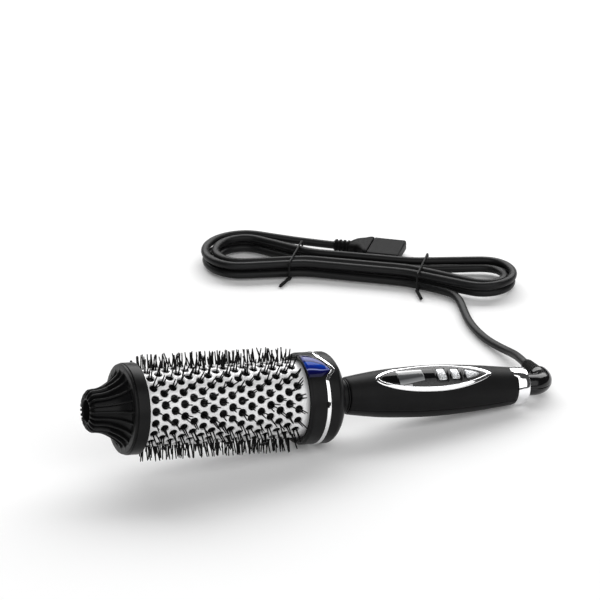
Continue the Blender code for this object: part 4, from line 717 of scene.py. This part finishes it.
first_strip = math.pi + ROLL + ROW_STEP / 4
strip_step = 2 * math.pi / STRIP_COUNT
strip_line = rounded([(124.5, 19.0, 0.2), (124.5, 20.5, 0.3), (30.0, 20.5, 0.3), (30.0, 19.0, 0.2)], 4)
for strip in range(STRIP_COUNT):
    middle = first_strip + strip * strip_step
    away = (hole_a - middle + math.pi) % (2 * math.pi) - math.pi
    mine = np.abs(away) < strip_step / 2
    x, a = hole_x[mine], hole_a[mine]
    lots = []
    for dx, da, part in ((0.75, -0.5, 1.0), (-0.7, -0.35, 0.88), (0.0, 0.8, 0.38)):
        keep = chance.random(len(x)) < part
        jitter = chance.normal(0.0, 0.22, (2, keep.sum()))
        lots.append(strands_of(x[keep] + (dx + jitter[0]) * MM, a[keep] + (da + jitter[1]) * MM / STRIP_R))
    half = strip_step / 2 - math.radians(0.8)
    sweep = np.linspace(-half, half, 9)[:, None] + middle
    strip_grid = capped(round_points(strip_line[None, :, 0], strip_line[None, :, 1], sweep))
    surface(f"bristle_row_{strip + 1:02d}", [strip_grid] + lots, nylon,
            nodes=f"bristle_strip_{strip + 1:02d}")

# %% [markdown]
# ## Collar
#
# The collar hides the joint of barrel and grip. Two black mouldings meet at a chrome
# band that steps back round the point of a blue lens. The step is a function of the
# distance across: a triangle with softened corners. Every line of the mouldings near the
# band follows it. Under the lens the front moulding is sunk, and holds the reflector.

# %% The step of the band
COLLAR_R = 26.4 * MM
TRIM_X = 137.0 * MM
POINT_SOFTNESS, FOOT_SOFTNESS = 0.12, 0.05
JOG_DEPTH, JOG_NEAR, JOG_POINT, JOG_FAR = 5.5 * MM, -7.2 * MM, -1.3 * MM, 9.2 * MM


def jog(angle):
    """How far the band lies behind its usual place: a triangle in y = R sin a on the keys'
    side, the lesser of its two slopes, with its point and feet rounded off."""
    y = COLLAR_R * np.sin(angle)
    near = (y - JOG_NEAR) / (JOG_POINT - JOG_NEAR)
    far = (JOG_FAR - y) / (JOG_FAR - JOG_POINT)
    tri = 0.5 * (near + far - np.sqrt((near - far) ** 2 + POINT_SOFTNESS ** 2))
    soft = 0.5 * (tri + np.sqrt(tri ** 2 + FOOT_SOFTNESS ** 2))
    return JOG_DEPTH * soft * (np.cos(angle) > 0)


LENS_FRONT, LENS_TIP, LENS_POINT = 126.3 * MM, 140.3 * MM, -1.6 * MM
LENS_NEAR, LENS_FAR = -5.9 * MM, 13.0 * MM


def lens_sides(x, inset=0.0):
    """The y of the lens's near and far edges at x: the near edge runs straight and then
    bends to the point, the far edge bends all the way, like a leaf."""
    share = np.clip((x - LENS_FRONT) / (LENS_TIP - LENS_FRONT), 0, 1)
    late = np.clip((share - 0.45) / 0.55, 0, 1)
    near = LENS_POINT + (LENS_NEAR - LENS_POINT) * (1 - late ** 1.9)
    far = LENS_POINT + (LENS_FAR - LENS_POINT) * (1 - share ** 2.3)
    return near + inset, far - inset


def under_lens(x, angle):
    """True well inside the lens's outline."""
    y = COLLAR_R * np.sin(angle)
    near, far = lens_sides(x, 0.5 * MM)
    in_length = (x > LENS_FRONT + 0.5 * MM) & (x < LENS_TIP - 0.9 * MM)
    return in_length & (y > near) & (y < far) & (np.cos(angle) > 0)


# %% Collar mouldings
FRONT_EDGE, FRONT_STILL, REAR_EDGE, REAR_STILL = 135.75, 128.0, 138.25, 146.5
LENS_POCKET = 2.6 * MM
around = np.linspace(0, 2 * math.pi, 361)[None]
front_line = rounded([
    (FRONT_EDGE, 24.0, 0.1), (FRONT_EDGE, 26.35, 0.25), (FRONT_STILL, 26.35, 0.5), (127.0, 25.6, 0.4),
    (125.9, 25.2, 0.5), (125.6, 24.4, 0.3), (127.6, 23.2, 0.4), (127.6, 22.3, 0.2), (129.6, 22.3, 0.1),
    (129.6, 6.8, 0.1), (131.8, 6.8, 0.1), (131.8, 24.0, 0.1)], 5)
skin = np.linspace(front_line[9], front_line[10], 26)
front_line = np.vstack([front_line[:10], skin, front_line[10:]])
line_x, line_r = front_line[:, :1], front_line[:, 1:]
moving = (line_r > 26.3 * MM) | ((line_r > 23.9 * MM) & (line_x > 131.9 * MM))
moves = np.clip((line_x - FRONT_STILL * MM) / ((FRONT_EDGE - FRONT_STILL) * MM), 0, 1) * moving
front_x = line_x + moves * jog(around)
front_r = line_r - LENS_POCKET * ((line_r > 26.0 * MM) & under_lens(front_x, around))
surface("front_collar", round_points(front_x, front_r, around), satin_black,
        nodes="collar_front")

rear_dome = flowing([
    (REAR_EDGE, 26.35), (140.5, 26.35), (142.6, 26.33), (144.0, 26.2), (145.8, 25.2), (147.6, 23.2),
    (149.2, 20.5), (150.4, 17.5), (151.3, 14.1), (151.8, 11.6), (151.9, 10.6)], 44) * MM
rear_inside = np.array([(152.0, 10.0), (152.0, 6.8), (149.7, 6.8), (149.7, 10.0), (147.4, 18.6), (144.0, 24.1),
                        (REAR_EDGE, 23.8)]) * MM
rear_rim = rounded([(REAR_EDGE, 23.8, 0.1), (REAR_EDGE, 26.35, 0.3), (139.2, 26.35, 0.0)], 5, closed=False)
rear_line = np.vstack([rear_rim, rear_dome[5:], rear_inside])
moves = np.clip((REAR_STILL * MM - rear_line[:, :1]) / ((REAR_STILL - REAR_EDGE) * MM), 0, 1) ** 0.8
surface("rear_collar", round_points(rear_line[:, :1] + moves * jog(around), rear_line[:, 1:], around), satin_black,
        nodes="collar_rear")

# %% The chrome band
band_section = rounded([(-1.2, 25.2, 0.1), (1.2, 25.2, 0.1), (1.2, 26.45, 0.25), (0.8, 26.68, 0.3),
                        (-0.8, 26.68, 0.3), (-1.2, 26.45, 0.25)], 5)
band_x = TRIM_X + band_section[:, :1] + jog(around)
surface("chrome_band", round_points(band_x, band_section[:, 1:], around), chrome,
        nodes="trim_ring")

catch_line = rounded([(135.7, 26.2, 0.1), (135.7, 26.75, 0.25), (136.9, 26.8, 0.25), (136.9, 26.2, 0.1)], 4)
catch_turn = np.radians(np.linspace(-52.0, -44.5, 9))[:, None]
catch = round_points(catch_line[None, :, 0], catch_line[None, :, 1], catch_turn)
# The catch gets the darker black: painted shade in the band's notch.
surface("band_catch", capped(catch), catch_painted_shade_black)

# %% [markdown]
# ## Lens
#
# The lens stands over a pale reflector. The picture shows clear blue plastic, dark at its
# edges, with a bright streak and a pale glow; here an opaque glossy cover has those colours
# painted on as stripes, which follow the way across, kept in the UV map: the streak is a
# painted highlight, the pale glow a painted reflection of the light, and the bright blue band
# painted light shining through the plastic. Its grid is a set of cross-lines: v runs across
# from the near edge to the far edge, u from front to point.

# %% Lens and reflector
# Painted light in these stops: the pale stop at 0.166 is a painted highlight, the blues from 0.22 to 0.26 are
# painted light through the plastic, and the pale blues at 0.31 and 0.35 are a painted reflection; the dark blues
# between are the plastic's own colour.
LENS_PAINTED_LIGHT_STOPS = [(0.0, (0.002, 0.001, 0.018)), (0.12, (0.003, 0.003, 0.05)), (0.152, (0.004, 0.006, 0.09)),
              (0.166, (0.34, 0.38, 0.70)), (0.177, (0.005, 0.012, 0.16)), (0.22, (0.003, 0.025, 0.28)),
              (0.26, (0.006, 0.07, 0.45)), (0.275, (0.005, 0.008, 0.09)), (0.31, (0.12, 0.13, 0.36)),
              (0.35, (0.07, 0.075, 0.26)), (0.375, (0.008, 0.007, 0.06)), (0.5, (0.003, 0.002, 0.02)),
              (1.0, (0.003, 0.002, 0.02))]
# This finish paints the lens's highlight, its reflection and the light through it as stripes.
lens_painted_light = striped("blue_lens", LENS_PAINTED_LIGHT_STOPS, 0.08, Specular_IOR_Level=0.12, Coat_Weight=0.12,
                    Coat_Roughness=0.03)
pale_blue = grained("pale_reflector", (0.45, 0.55, 0.95), 0.3, 0.5, 0.01)


def lens_grid(u, v, low, high):
    """Points over the outline: x from front to point with u, y from the near to the far edge
    with v. The height over the collar's radius is low at the outline and high in the middle."""
    x = LENS_FRONT + (LENS_TIP - LENS_FRONT) * u
    near, far = lens_sides(x)
    far = np.maximum(far, near)
    y = 0.5 * (near + far) + 0.5 * v * (far - near)
    dome = (1 - v ** 4) * np.clip((far - near) / (8 * MM), 0, 1) * np.clip(u / 0.06, 0, 1) ** 0.5
    r = COLLAR_R + (low + (high - low) * dome) * MM
    return round_points(x, r, np.arcsin(np.clip(y / r, -1, 1)))


u = (0.5 - 0.5 * np.cos(np.linspace(0, math.pi, 60)))[:, None]
v = np.sin(np.linspace(-math.pi / 2, math.pi / 2, 41))[None]
lens = slab(lens_grid(u, v, 0.05, 0.75), lens_grid(u, v, -0.5, -1.1))
surface("blue_lens", lens, lens_painted_light, nodes="indicator_lens", sharp=60)

u, v = 0.8 * u + 0.08, np.linspace(-0.86, 0.86, 21)[None]
reflector = slab(lens_grid(u, v, -2.4, -2.0), lens_grid(u, v, -2.8, -2.8))
surface("lens_reflector", reflector, pale_blue)

# %% [markdown]
# ## Neck and grip
#
# The grip is a turned, slender barrel shape in two halves. The seam between them is a
# narrow gap with rounded edges at the height of the axis. Under the panel the upper half
# is sunk, and the chrome frame covers the edge of that hollow.

# %% Neck ring
neck = rounded([(157.2, 6.8, 0.1), (157.2, 10.1, 0.3), (156.5, 10.15, 0.15), (156.2, 9.5, 0.1),
                (155.8, 10.1, 0.2), (152.3, 10.1, 0.2), (152.3, 6.8, 0.1)], 5)
surface("neck", turned(neck), satin_black, nodes="neck_ring")

# %% Grip
GRIP_START, GRIP_END = 157.5 * MM, 263.7 * MM
GRIP_SHAPE = [(0.0, 10.7), (0.11, 12.4), (0.23, 13.8), (0.39, 14.7), (0.51, 14.9), (0.63, 14.5),
              (0.80, 13.2), (0.92, 11.9), (1.0, 11.0)]
grip_table = flowing(GRIP_SHAPE, 200)


def grip_r(x):
    """The grip's radius at x, from a smooth line through the measured stations."""
    share = (x - GRIP_START) / (GRIP_END - GRIP_START)
    return np.interp(share, grip_table[:, 0], grip_table[:, 1]) * MM


PANEL_X, PANEL_LONG, PANEL_WIDE, PANEL_POINT = 210.2 * MM, 36.7 * MM, 9.7 * MM, 0.5


END_INSET = 1.4


def panel_half(x, inset=0.0):
    """Half the oval's width at x: an ellipse in front, and behind its middle a blend of an
    ellipse and a parabola, which makes it pointed. An inset counts END_INSET times along."""
    share = np.clip(np.abs(x - PANEL_X) / (PANEL_LONG - END_INSET * inset), 0, 1)
    point = np.where(x > PANEL_X, PANEL_POINT, 0.0)
    return (PANEL_WIDE - inset) * ((1 - point) * np.sqrt(1 - share ** 2) + point * (1 - share ** 2))


def on_grip(x, y, lift):
    """A point over the grip's skin: x along, y across as seen from above, lift outwards."""
    r = grip_r(x)
    angle = np.arcsin(np.clip(y / r, -1, 1))
    return round_points(x, r + lift, angle)


END_LENGTH, END_DROP, GRIP_WALL = 1.4 * MM, 0.7 * MM, 4.6 * MM
SEAM_HALF, SEAM_DROP, SEAM_LENGTH = 0.16 * MM, 0.22 * MM, 0.5
PANEL_SINK, SINK_INSET = 3.0 * MM, 0.8 * MM
ends = 0.5 - 0.5 * np.cos(np.linspace(0, math.pi, 14))
grip_x = np.concatenate([GRIP_START + 2 * END_LENGTH * ends[:7],
                         np.linspace(GRIP_START + 1.6 * MM, GRIP_END - 1.6 * MM, 190),
                         GRIP_END - 2 * END_LENGTH * (1 - ends[7:])])
edge = np.minimum(grip_x - GRIP_START, GRIP_END - grip_x)
end_drop = END_DROP * (1 - np.sqrt(np.clip(1 - (1 - np.clip(edge / END_LENGTH, 0, 1)) ** 2, 0, 1)))
skin_r = grip_r(grip_x)[:, None]
t = np.linspace(-1, 1, 150)[None]
from_seam = np.clip((1 - np.abs(t)) * math.pi / 2 * 14.0 / SEAM_LENGTH, 0, 1)
for name, node_name, middle in (("upper_grip", "handle_upper", 0.0), ("lower_grip", "handle_lower", math.pi)):
    angle = middle + t * (math.pi / 2 - SEAM_HALF / skin_r)
    radius = skin_r - end_drop[:, None] - SEAM_DROP * (1 - np.sqrt(1 - (1 - from_seam) ** 2))
    if name == "upper_grip":
        under = np.abs(radius * np.sin(angle)) < panel_half(grip_x, SINK_INSET)[:, None]
        under &= np.abs(grip_x - PANEL_X)[:, None] < PANEL_LONG - 1.4 * MM
        radius = radius - PANEL_SINK * under
    outer = round_points(grip_x[:, None], radius, angle)
    inner = round_points(grip_x[:, None], skin_r - GRIP_WALL, angle)
    mid = 0.5 * (outer + inner)
    shell, closing = (np.concatenate([a, b[:, ::-1], a[:, :1]], axis=1) for a, b in ((outer, inner), (mid, mid)))
    shell = np.concatenate([closing[:1], shell, closing[-1:]], axis=0)
    surface(name, shell, soft_touch, nodes=node_name)

# %% [markdown]
# ## Panel
#
# A pointed oval of chrome frames the panel. Inside it lie a grey plate, a glossy black
# window with the display behind it, and three silver keys in black seats. All of them
# follow the curve of the grip: they are described from above, by x along the brush and y
# across, and then lifted over the grip's skin.

# %% Chrome frame
BEZEL = 2.3 * MM


def oval_line(inset):
    """The oval's points, moved inwards by inset along its own normal."""
    t = np.linspace(0, 2 * math.pi, 321)
    x = PANEL_LONG * np.cos(t)
    y = np.sign(np.sin(t)) * panel_half(PANEL_X + x)
    dx, dy = np.gradient(x), np.gradient(y)
    dx[0] = dx[-1] = 0.0
    size = np.maximum(np.hypot(dx, dy), 1e-9)
    return PANEL_X + x - inset * dy / size, y + inset * dx / size


bezel_section = rounded([(0.0, -1.2, 0.1), (0.0, 0.1, 0.1), (0.4, 0.36, 0.3), (1.9, 0.32, 0.3),
                         (2.3, -0.1, 0.1), (2.3, -1.2, 0.1)], 5)
rings = [on_grip(*oval_line(inset), lift) for inset, lift in bezel_section]
surface("chrome_frame", np.stack(rings), chrome, nodes="panel_bezel")

# %% Plate
KEYS = (  # middle, length and half width in millimetres, and the width of the seat
    ("key_down", 214.2, 5.4, 4.1, 1.5), ("key_up", 222.9, 5.2, 3.6, 1.5), ("key_power", 234.1, 8.9, 3.2, 1.7))


def key_half(key, x, grow=0.0):
    """Half a key's width at x: an oblong with round corners, or a leaf for the last key."""
    name, middle, length, half, _ = key
    t = np.clip((x - middle * MM) / (length / 2 * MM + grow), -1, 1)
    body = np.clip(1 - np.abs(t) ** 9, 0, 1) ** (1 / 3)
    if name == "key_power":
        front = np.clip(1 - np.clip(-t, 0, 1) ** 12, 0, 1) ** (1 / 3)
        body = front * np.clip(0.5 - 0.5 * t, 0, 1) ** 0.6
    return (half * MM + grow) * body


PLATE_EDGE = BEZEL - 0.25 * MM
KEY_HOLE_DEEP, KEY_HOLE_GROWS, PLATE_THICK = 2.3 * MM, 0.6 * MM, 2.6 * MM
u = np.sin(np.linspace(-math.pi / 2, math.pi / 2, 420))[:, None]
u = 0.35 * u + 0.65 * np.linspace(-1, 1, 420)[:, None]
v = np.linspace(-1, 1, 121)[None]
plate_x = PANEL_X + u * (PANEL_LONG - END_INSET * PLATE_EDGE)
plate_y = v * panel_half(plate_x, PLATE_EDGE)
rim = (1 - np.abs(v)) * panel_half(plate_x, BEZEL) / (0.5 * MM)
plate_lift = 0.02 * MM - 0.35 * MM * (1 - np.clip(rim, 0, 1)) ** 2
for key in KEYS:
    in_length = np.abs(plate_x - key[1] * MM) < key[2] / 2 * MM + KEY_HOLE_GROWS
    in_key = in_length & (np.abs(plate_y) < key_half(key, plate_x, KEY_HOLE_GROWS))
    plate_lift = np.where(in_key, -KEY_HOLE_DEEP, plate_lift)
plate_x = plate_x + 0 * plate_y
top, bottom = on_grip(plate_x, plate_y, plate_lift), on_grip(plate_x, plate_y, -PLATE_THICK)
surface("panel_face", np.concatenate([top, bottom[:, ::-1], top[:, :1]], axis=1), panel_grey,
        nodes="panel_plate")

# %% Key seats
KEY_GAP, SEAT_DEEP = 0.25 * MM, 1.5 * MM
for key in KEYS:
    name, middle, length, half, seat = key
    edge = length / 2 * MM + KEY_GAP
    inner_x = edge * np.sin(np.linspace(-math.pi / 2, math.pi / 2, 90))
    outer_x = np.linspace(edge + 0.01 * MM, (length / 2 + seat) * MM, 14)
    x = middle * MM + np.concatenate([-outer_x[::-1], inner_x, outer_x])
    outer_y = key_half(key, x, seat * MM)
    inner_y = key_half(key, x, KEY_GAP) * (np.abs(x - middle * MM) <= edge + 0.001 * MM)
    lean = 0.4 * MM * (outer_y > 0.8 * MM)
    for hand, label in ((1, "far"), (-1, "near")):
        ring = [on_grip(x, y * hand, lift) for y, lift in (
            (inner_y, -SEAT_DEEP), (inner_y, 0.10 * MM), (0.5 * (inner_y + outer_y), 0.28 * MM),
            (outer_y - lean, 0.2 * MM), (outer_y, 0.0), (outer_y, -SEAT_DEEP), (inner_y, -SEAT_DEEP))]
        surface(f"{name}_seat_{label}", capped(np.stack(ring, axis=1)), gloss_black)

# %% Keys
KEY_HIGH, KEY_DEEP, KEY_EDGE, KEY_EDGE_DROP = 0.45 * MM, 1.3 * MM, 0.6 * MM, 0.35 * MM
silver = grained("silver_key", (0.60, 0.61, 0.62), 0.38, 0.45, 0.10, metallic=0.55, tone=0.55, patch=0.9)
t = np.sin(np.linspace(-math.pi / 2, math.pi / 2, 44))[:, None]
v = np.sin(np.linspace(-math.pi / 2, math.pi / 2, 37))[None]
for key in KEYS:
    name, middle, length, half, _ = key
    x = middle * MM + t * length / 2 * MM + 0 * v
    half_y = key_half(key, x)
    rim = np.minimum((length / 2 * MM) * (1 - np.abs(t)), half_y * (1 - np.abs(v))) / KEY_EDGE
    lift = KEY_HIGH - KEY_EDGE_DROP * (1 - np.clip(rim, 0, 1)) ** 2
    cap = slab(on_grip(x, v * half_y, lift), on_grip(x, v * half_y, -KEY_DEEP))
    surface(f"{name}_cap", cap, silver, body=name, nodes=name)


# %% Window and display
def inlay(name, start, end, near, far, height, look, nodes=()):
    """A slab on the panel between two places along the brush. near and far give its two
    long edges there, as functions of x; its top is lifted by height, less at its edges."""
    x = np.linspace(start, end, 60)[:, None] * MM
    v = np.linspace(-1, 1, 41)[None]
    y = 0.5 * (near(x) + far(x)) + 0.5 * v * (far(x) - near(x))
    ends = np.minimum(x - start * MM, end * MM - x) / (0.25 * MM)
    lift = height * MM - 0.12 * MM * v ** 10 - 0.12 * MM * (1 - np.clip(ends, 0, 1)) ** 2
    x = x + 0 * v
    surface(name, slab(on_grip(x, y, lift), on_grip(x, y, -0.4 * MM)), look, nodes=nodes)


def slanted(value, slope=0.0):
    """A long edge at the given y in millimetres, rising by slope along x."""
    return lambda x: (value + slope * (x / MM - WINDOW_END)) * MM


def frame_inside(side):
    """The chrome frame's inner edge, less a gap, as a long edge on one side."""
    return lambda x: side * panel_half(x, BEZEL + 0.1 * MM)


WINDOW_START, WINDOW_END = PANEL_X / MM - PANEL_LONG / MM + END_INSET * (BEZEL / MM + 0.1), 187.0
# The display is grey across, lighter along its near edge and darkest in its middle; the pale stops from 0.44 on,
# along its far edge, are a painted reflection of the light.
DISPLAY_GREY_AND_REFLECTION_STOPS = [(0.0, (0.26, 0.265, 0.27)), (0.10, (0.20, 0.205, 0.21)), (0.16, (0.055, 0.057, 0.06)),
                 (0.30, (0.07, 0.072, 0.075)), (0.40, (0.20, 0.205, 0.21)), (0.44, (0.75, 0.76, 0.76)),
                 (1.0, (0.85, 0.85, 0.85))]
display_with_painted_reflection = striped("display_grey", DISPLAY_GREY_AND_REFLECTION_STOPS, 0.18, Coat_Weight=0.5, Coat_Roughness=0.05)
pale_edge = grained("pale_edge", (0.55, 0.55, 0.56), 0.3, 0.8, 0.002, tone=0.05)
inlay("window", WINDOW_START, WINDOW_END, frame_inside(-1), frame_inside(1), 0.16, window_black,
      "display_window")
inlay("window_tail", 202.8, 210.2, slanted(-2.9), slanted(5.6), 0.15, window_black)
inlay("display", 187.1, 202.9, slanted(-5.6, 0.14), slanted(5.0, -0.03), 0.17, display_with_painted_reflection)
inlay("display_foot", 187.4, 194.5, slanted(-6.5, -0.02), slanted(-5.7, 0.06), 0.14, pale_edge)

# %% [markdown]
# ## Cord end
#
# A bright ring closes the grip. Behind it a glossy elbow on a shaft turns the cord away at
# a right angle; the moulded relief that protects the cord is knurled: two families of
# ridges wind round it in opposite directions and leave little diamonds.

# %% End ring and elbow
TONGUE_MIDDLE, TONGUE_HALF, TONGUE_EDGE = math.radians(11.0), math.radians(20.0), math.radians(1.6)
TONGUE_REACH, TONGUE_LIFT, TONGUE_FROM = 3.0 * MM, 0.28 * MM, 265.5 * MM
ring_line = rounded([(264.0, 8.7, 0.1), (264.0, 10.9, 0.4), (266.0, 11.25, 0.9), (269.6, 11.1, 0.9),
                     (271.6, 10.7, 0.6), (271.6, 8.7, 0.3)], 6)
ring_turn = np.linspace(0, 2 * math.pi, 241)[:, None]
away = np.abs((ring_turn - TONGUE_MIDDLE + math.pi) % (2 * math.pi) - math.pi)
tongue = 1 / (1 + np.exp((away - TONGUE_HALF) / TONGUE_EDGE)) * (ring_line[:, 0] < TONGUE_FROM)
ring = round_points(ring_line[:, 0] - TONGUE_REACH * tongue, ring_line[:, 1] + TONGUE_LIFT * tongue, ring_turn)
surface("chrome_ring", ring, chrome, nodes="end_ring")

CORNER = RING_END + ELBOW_REACH
BEND = 10.0 * MM
PARTING_DEEP, PARTING_WIDE = 0.3 * MM, 0.3 * MM
quarter = np.linspace(0, math.pi / 2, 26)
elbow_path = np.vstack([
    [(x * MM, 0.0, 0.0) for x in (247.0, 253.0, 271.85, 271.9, 272.6, 274.0, 276.0)],
    np.stack([CORNER - BEND + BEND * np.sin(quarter), BEND - BEND * np.cos(quarter), 0 * quarter], axis=1),
    [(CORNER, y * MM, 0.0) for y in (11.0, 12.2, 12.8, 13.0)]])
elbow_r = np.concatenate([[4.9, 4.9, 4.9, 5.7, 6.2, 6.35, 6.3], np.linspace(6.3, 6.1, 26),
                          [6.05, 6.0, 5.8, 5.3]]) * MM
from_middle = tube(elbow_path, elbow_r, 180) - elbow_path[:, None]
parting = PARTING_DEEP * np.exp(-(from_middle[..., 2:] / PARTING_WIDE) ** 2)
elbow_grid = elbow_path[:, None] + from_middle * (1 - parting / elbow_r[:, None, None])
surface("elbow", capped(elbow_grid), gloss_black, SWIVEL, "cord", "swivel_elbow")

# %% Strain relief
KNURL_RIDGES, KNURL_PITCH, KNURL_HIGH = 11, 2.0 * MM, 0.36
COLLAR_END_R = 2.9 * MM
share = np.linspace(0, 1, 190)[:, None]
turn_a = np.linspace(0, 2 * math.pi, 193)[None]
climb = share * RELIEF_LENGTH / KNURL_PITCH * 2 * math.pi
pattern = np.maximum(np.cos(KNURL_RIDGES * turn_a + climb), np.cos(KNURL_RIDGES * turn_a - climb))
knurled_part = np.clip(np.minimum(share, 0.93 - share) / 0.05, 0, 1)
relief_r = (4.55 - 1.35 * share + KNURL_HIGH * pattern * knurled_part) * MM
relief_r = np.where(share > 0.97, COLLAR_END_R, relief_r)
y = ELBOW_OUT + GAP + share * RELIEF_LENGTH + 0 * turn_a
knurled = np.stack([CORNER + relief_r * np.cos(turn_a), y, relief_r * np.sin(turn_a)], axis=-1)
surface("knurled_relief", capped(knurled), relief_black, SWIVEL, "cord", "strain_relief",
        sharp=60)

# %% [markdown]
# ## Inner parts
#
# The parts inside are seen only through the holes or not at all. They keep their packed
# shapes and get a plain finish each.

# %% Finishes of the inner parts
inner = {
    "aluminium": grained("inner_aluminium", (0.60, 0.61, 0.62), 0.45, 0.4, 0.01, metallic=1.0),
    "steel": grained("inner_steel", (0.55, 0.55, 0.56), 0.35, 0.4, 0.005, metallic=1.0),
    "ceramic": grained("inner_ceramic", (0.80, 0.78, 0.72), 0.6, 0.5, 0.01),
    "lamp": grained("inner_lamp", (0.70, 0.78, 0.95), 0.2, 0.5, 0.002),
    "board_green": grained("inner_board", (0.02, 0.13, 0.05), 0.4, 0.4, 0.005),
    "display_grey": display_with_painted_reflection,
    "heat_plastic": satin_black,
    "switch_black": satin_black,
}
slots = {row["node"]: row["material_slot"] for row in frame["record"]["subparts"]}
for name, packed in frame["nodes"].items():
    if not packed.hide_render:
        packed.data.materials.clear()
        packed.data.materials.append(inner.get(slots[name], satin_black))
        print("packed shape kept:", name)

# %% [markdown]
# ## Table and light
#
# The picture is a product shot on seamless white. A big soft light stands behind the brush
# and throws its shadow towards the viewer; a weaker one stands on the viewer's side. The
# rest of the room is nearly dark, which leaves dark lines in the chrome. The table adds a
# little light of its own to what the camera and reflections see.

# %% Table
TABLE_GLOW, TABLE_HALF = 0.06, 6.0
table_mesh = bpy.data.meshes.new("table")
table_mesh.from_pydata([(x * TABLE_HALF, y * TABLE_HALF, 0) for x, y in ((-1, -1), (1, -1), (1, 1), (-1, 1))],
                       [], [(0, 1, 2, 3)])
table = bpy.data.objects.new("table", table_mesh)
bpy.context.scene.collection.objects.link(table)
paper = plain("white_paper", (0.9, 0.9, 0.9), 0.6, Specular_IOR_Level=0.0)
tree = paper.node_tree
rays = node(tree, "ShaderNodeLightPath").outputs
seen = node(tree, "ShaderNodeMath", {0: rays["Is Camera Ray"], 1: rays["Is Glossy Ray"]}, operation="MAXIMUM")
seen = node(tree, "ShaderNodeMath", {0: seen.outputs[0], 1: rays["Is Transmission Ray"]}, operation="MAXIMUM")
white, none = (node(tree, "ShaderNodeEmission", {"Strength": strength}) for strength in (TABLE_GLOW, 0.0))
glow = node(tree, "ShaderNodeMixShader", {0: seen.outputs[0], 1: none.outputs[0], 2: white.outputs[0]})
total = node(tree, "ShaderNodeAddShader", {0: tree.nodes["Principled BSDF"].outputs[0], 1: glow.outputs[0]})
tree.links.new(total.outputs[0], tree.nodes["Material Output"].inputs["Surface"])
table_mesh.materials.append(paper)


# %% Lights
def softbox(name, place, width, height, power):
    """A rectangular area light that faces the middle of the table."""
    data = bpy.data.lights.new(name, "AREA")
    data.shape = "RECTANGLE"
    data.size, data.size_y, data.energy = width, height, power
    lamp = bpy.data.objects.new(name, data)
    lamp.location = place
    x, y, z = place
    lamp.rotation_euler = (math.atan2(math.hypot(x, y), z), 0.0, math.atan2(-y, -x) - math.pi / 2)
    bpy.context.scene.collection.objects.link(lamp)


softbox("back_box", (0.72, 1.78, 1.60), 4.5, 1.7, 104.0)
softbox("front_box", (-0.25, -1.92, 1.58), 5.2, 2.8, 66.0)

ROOM_LIGHT = 0.06
world = bpy.data.worlds.new("room")
bpy.context.scene.world = world
world.use_nodes = True
background = world.node_tree.nodes["Background"].inputs
background["Color"].default_value = (1.0, 1.0, 1.0, 1.0)
background["Strength"].default_value = ROOM_LIGHT
bpy.context.scene.view_settings.view_transform = "Standard"
print("lights:", len(bpy.data.lights))
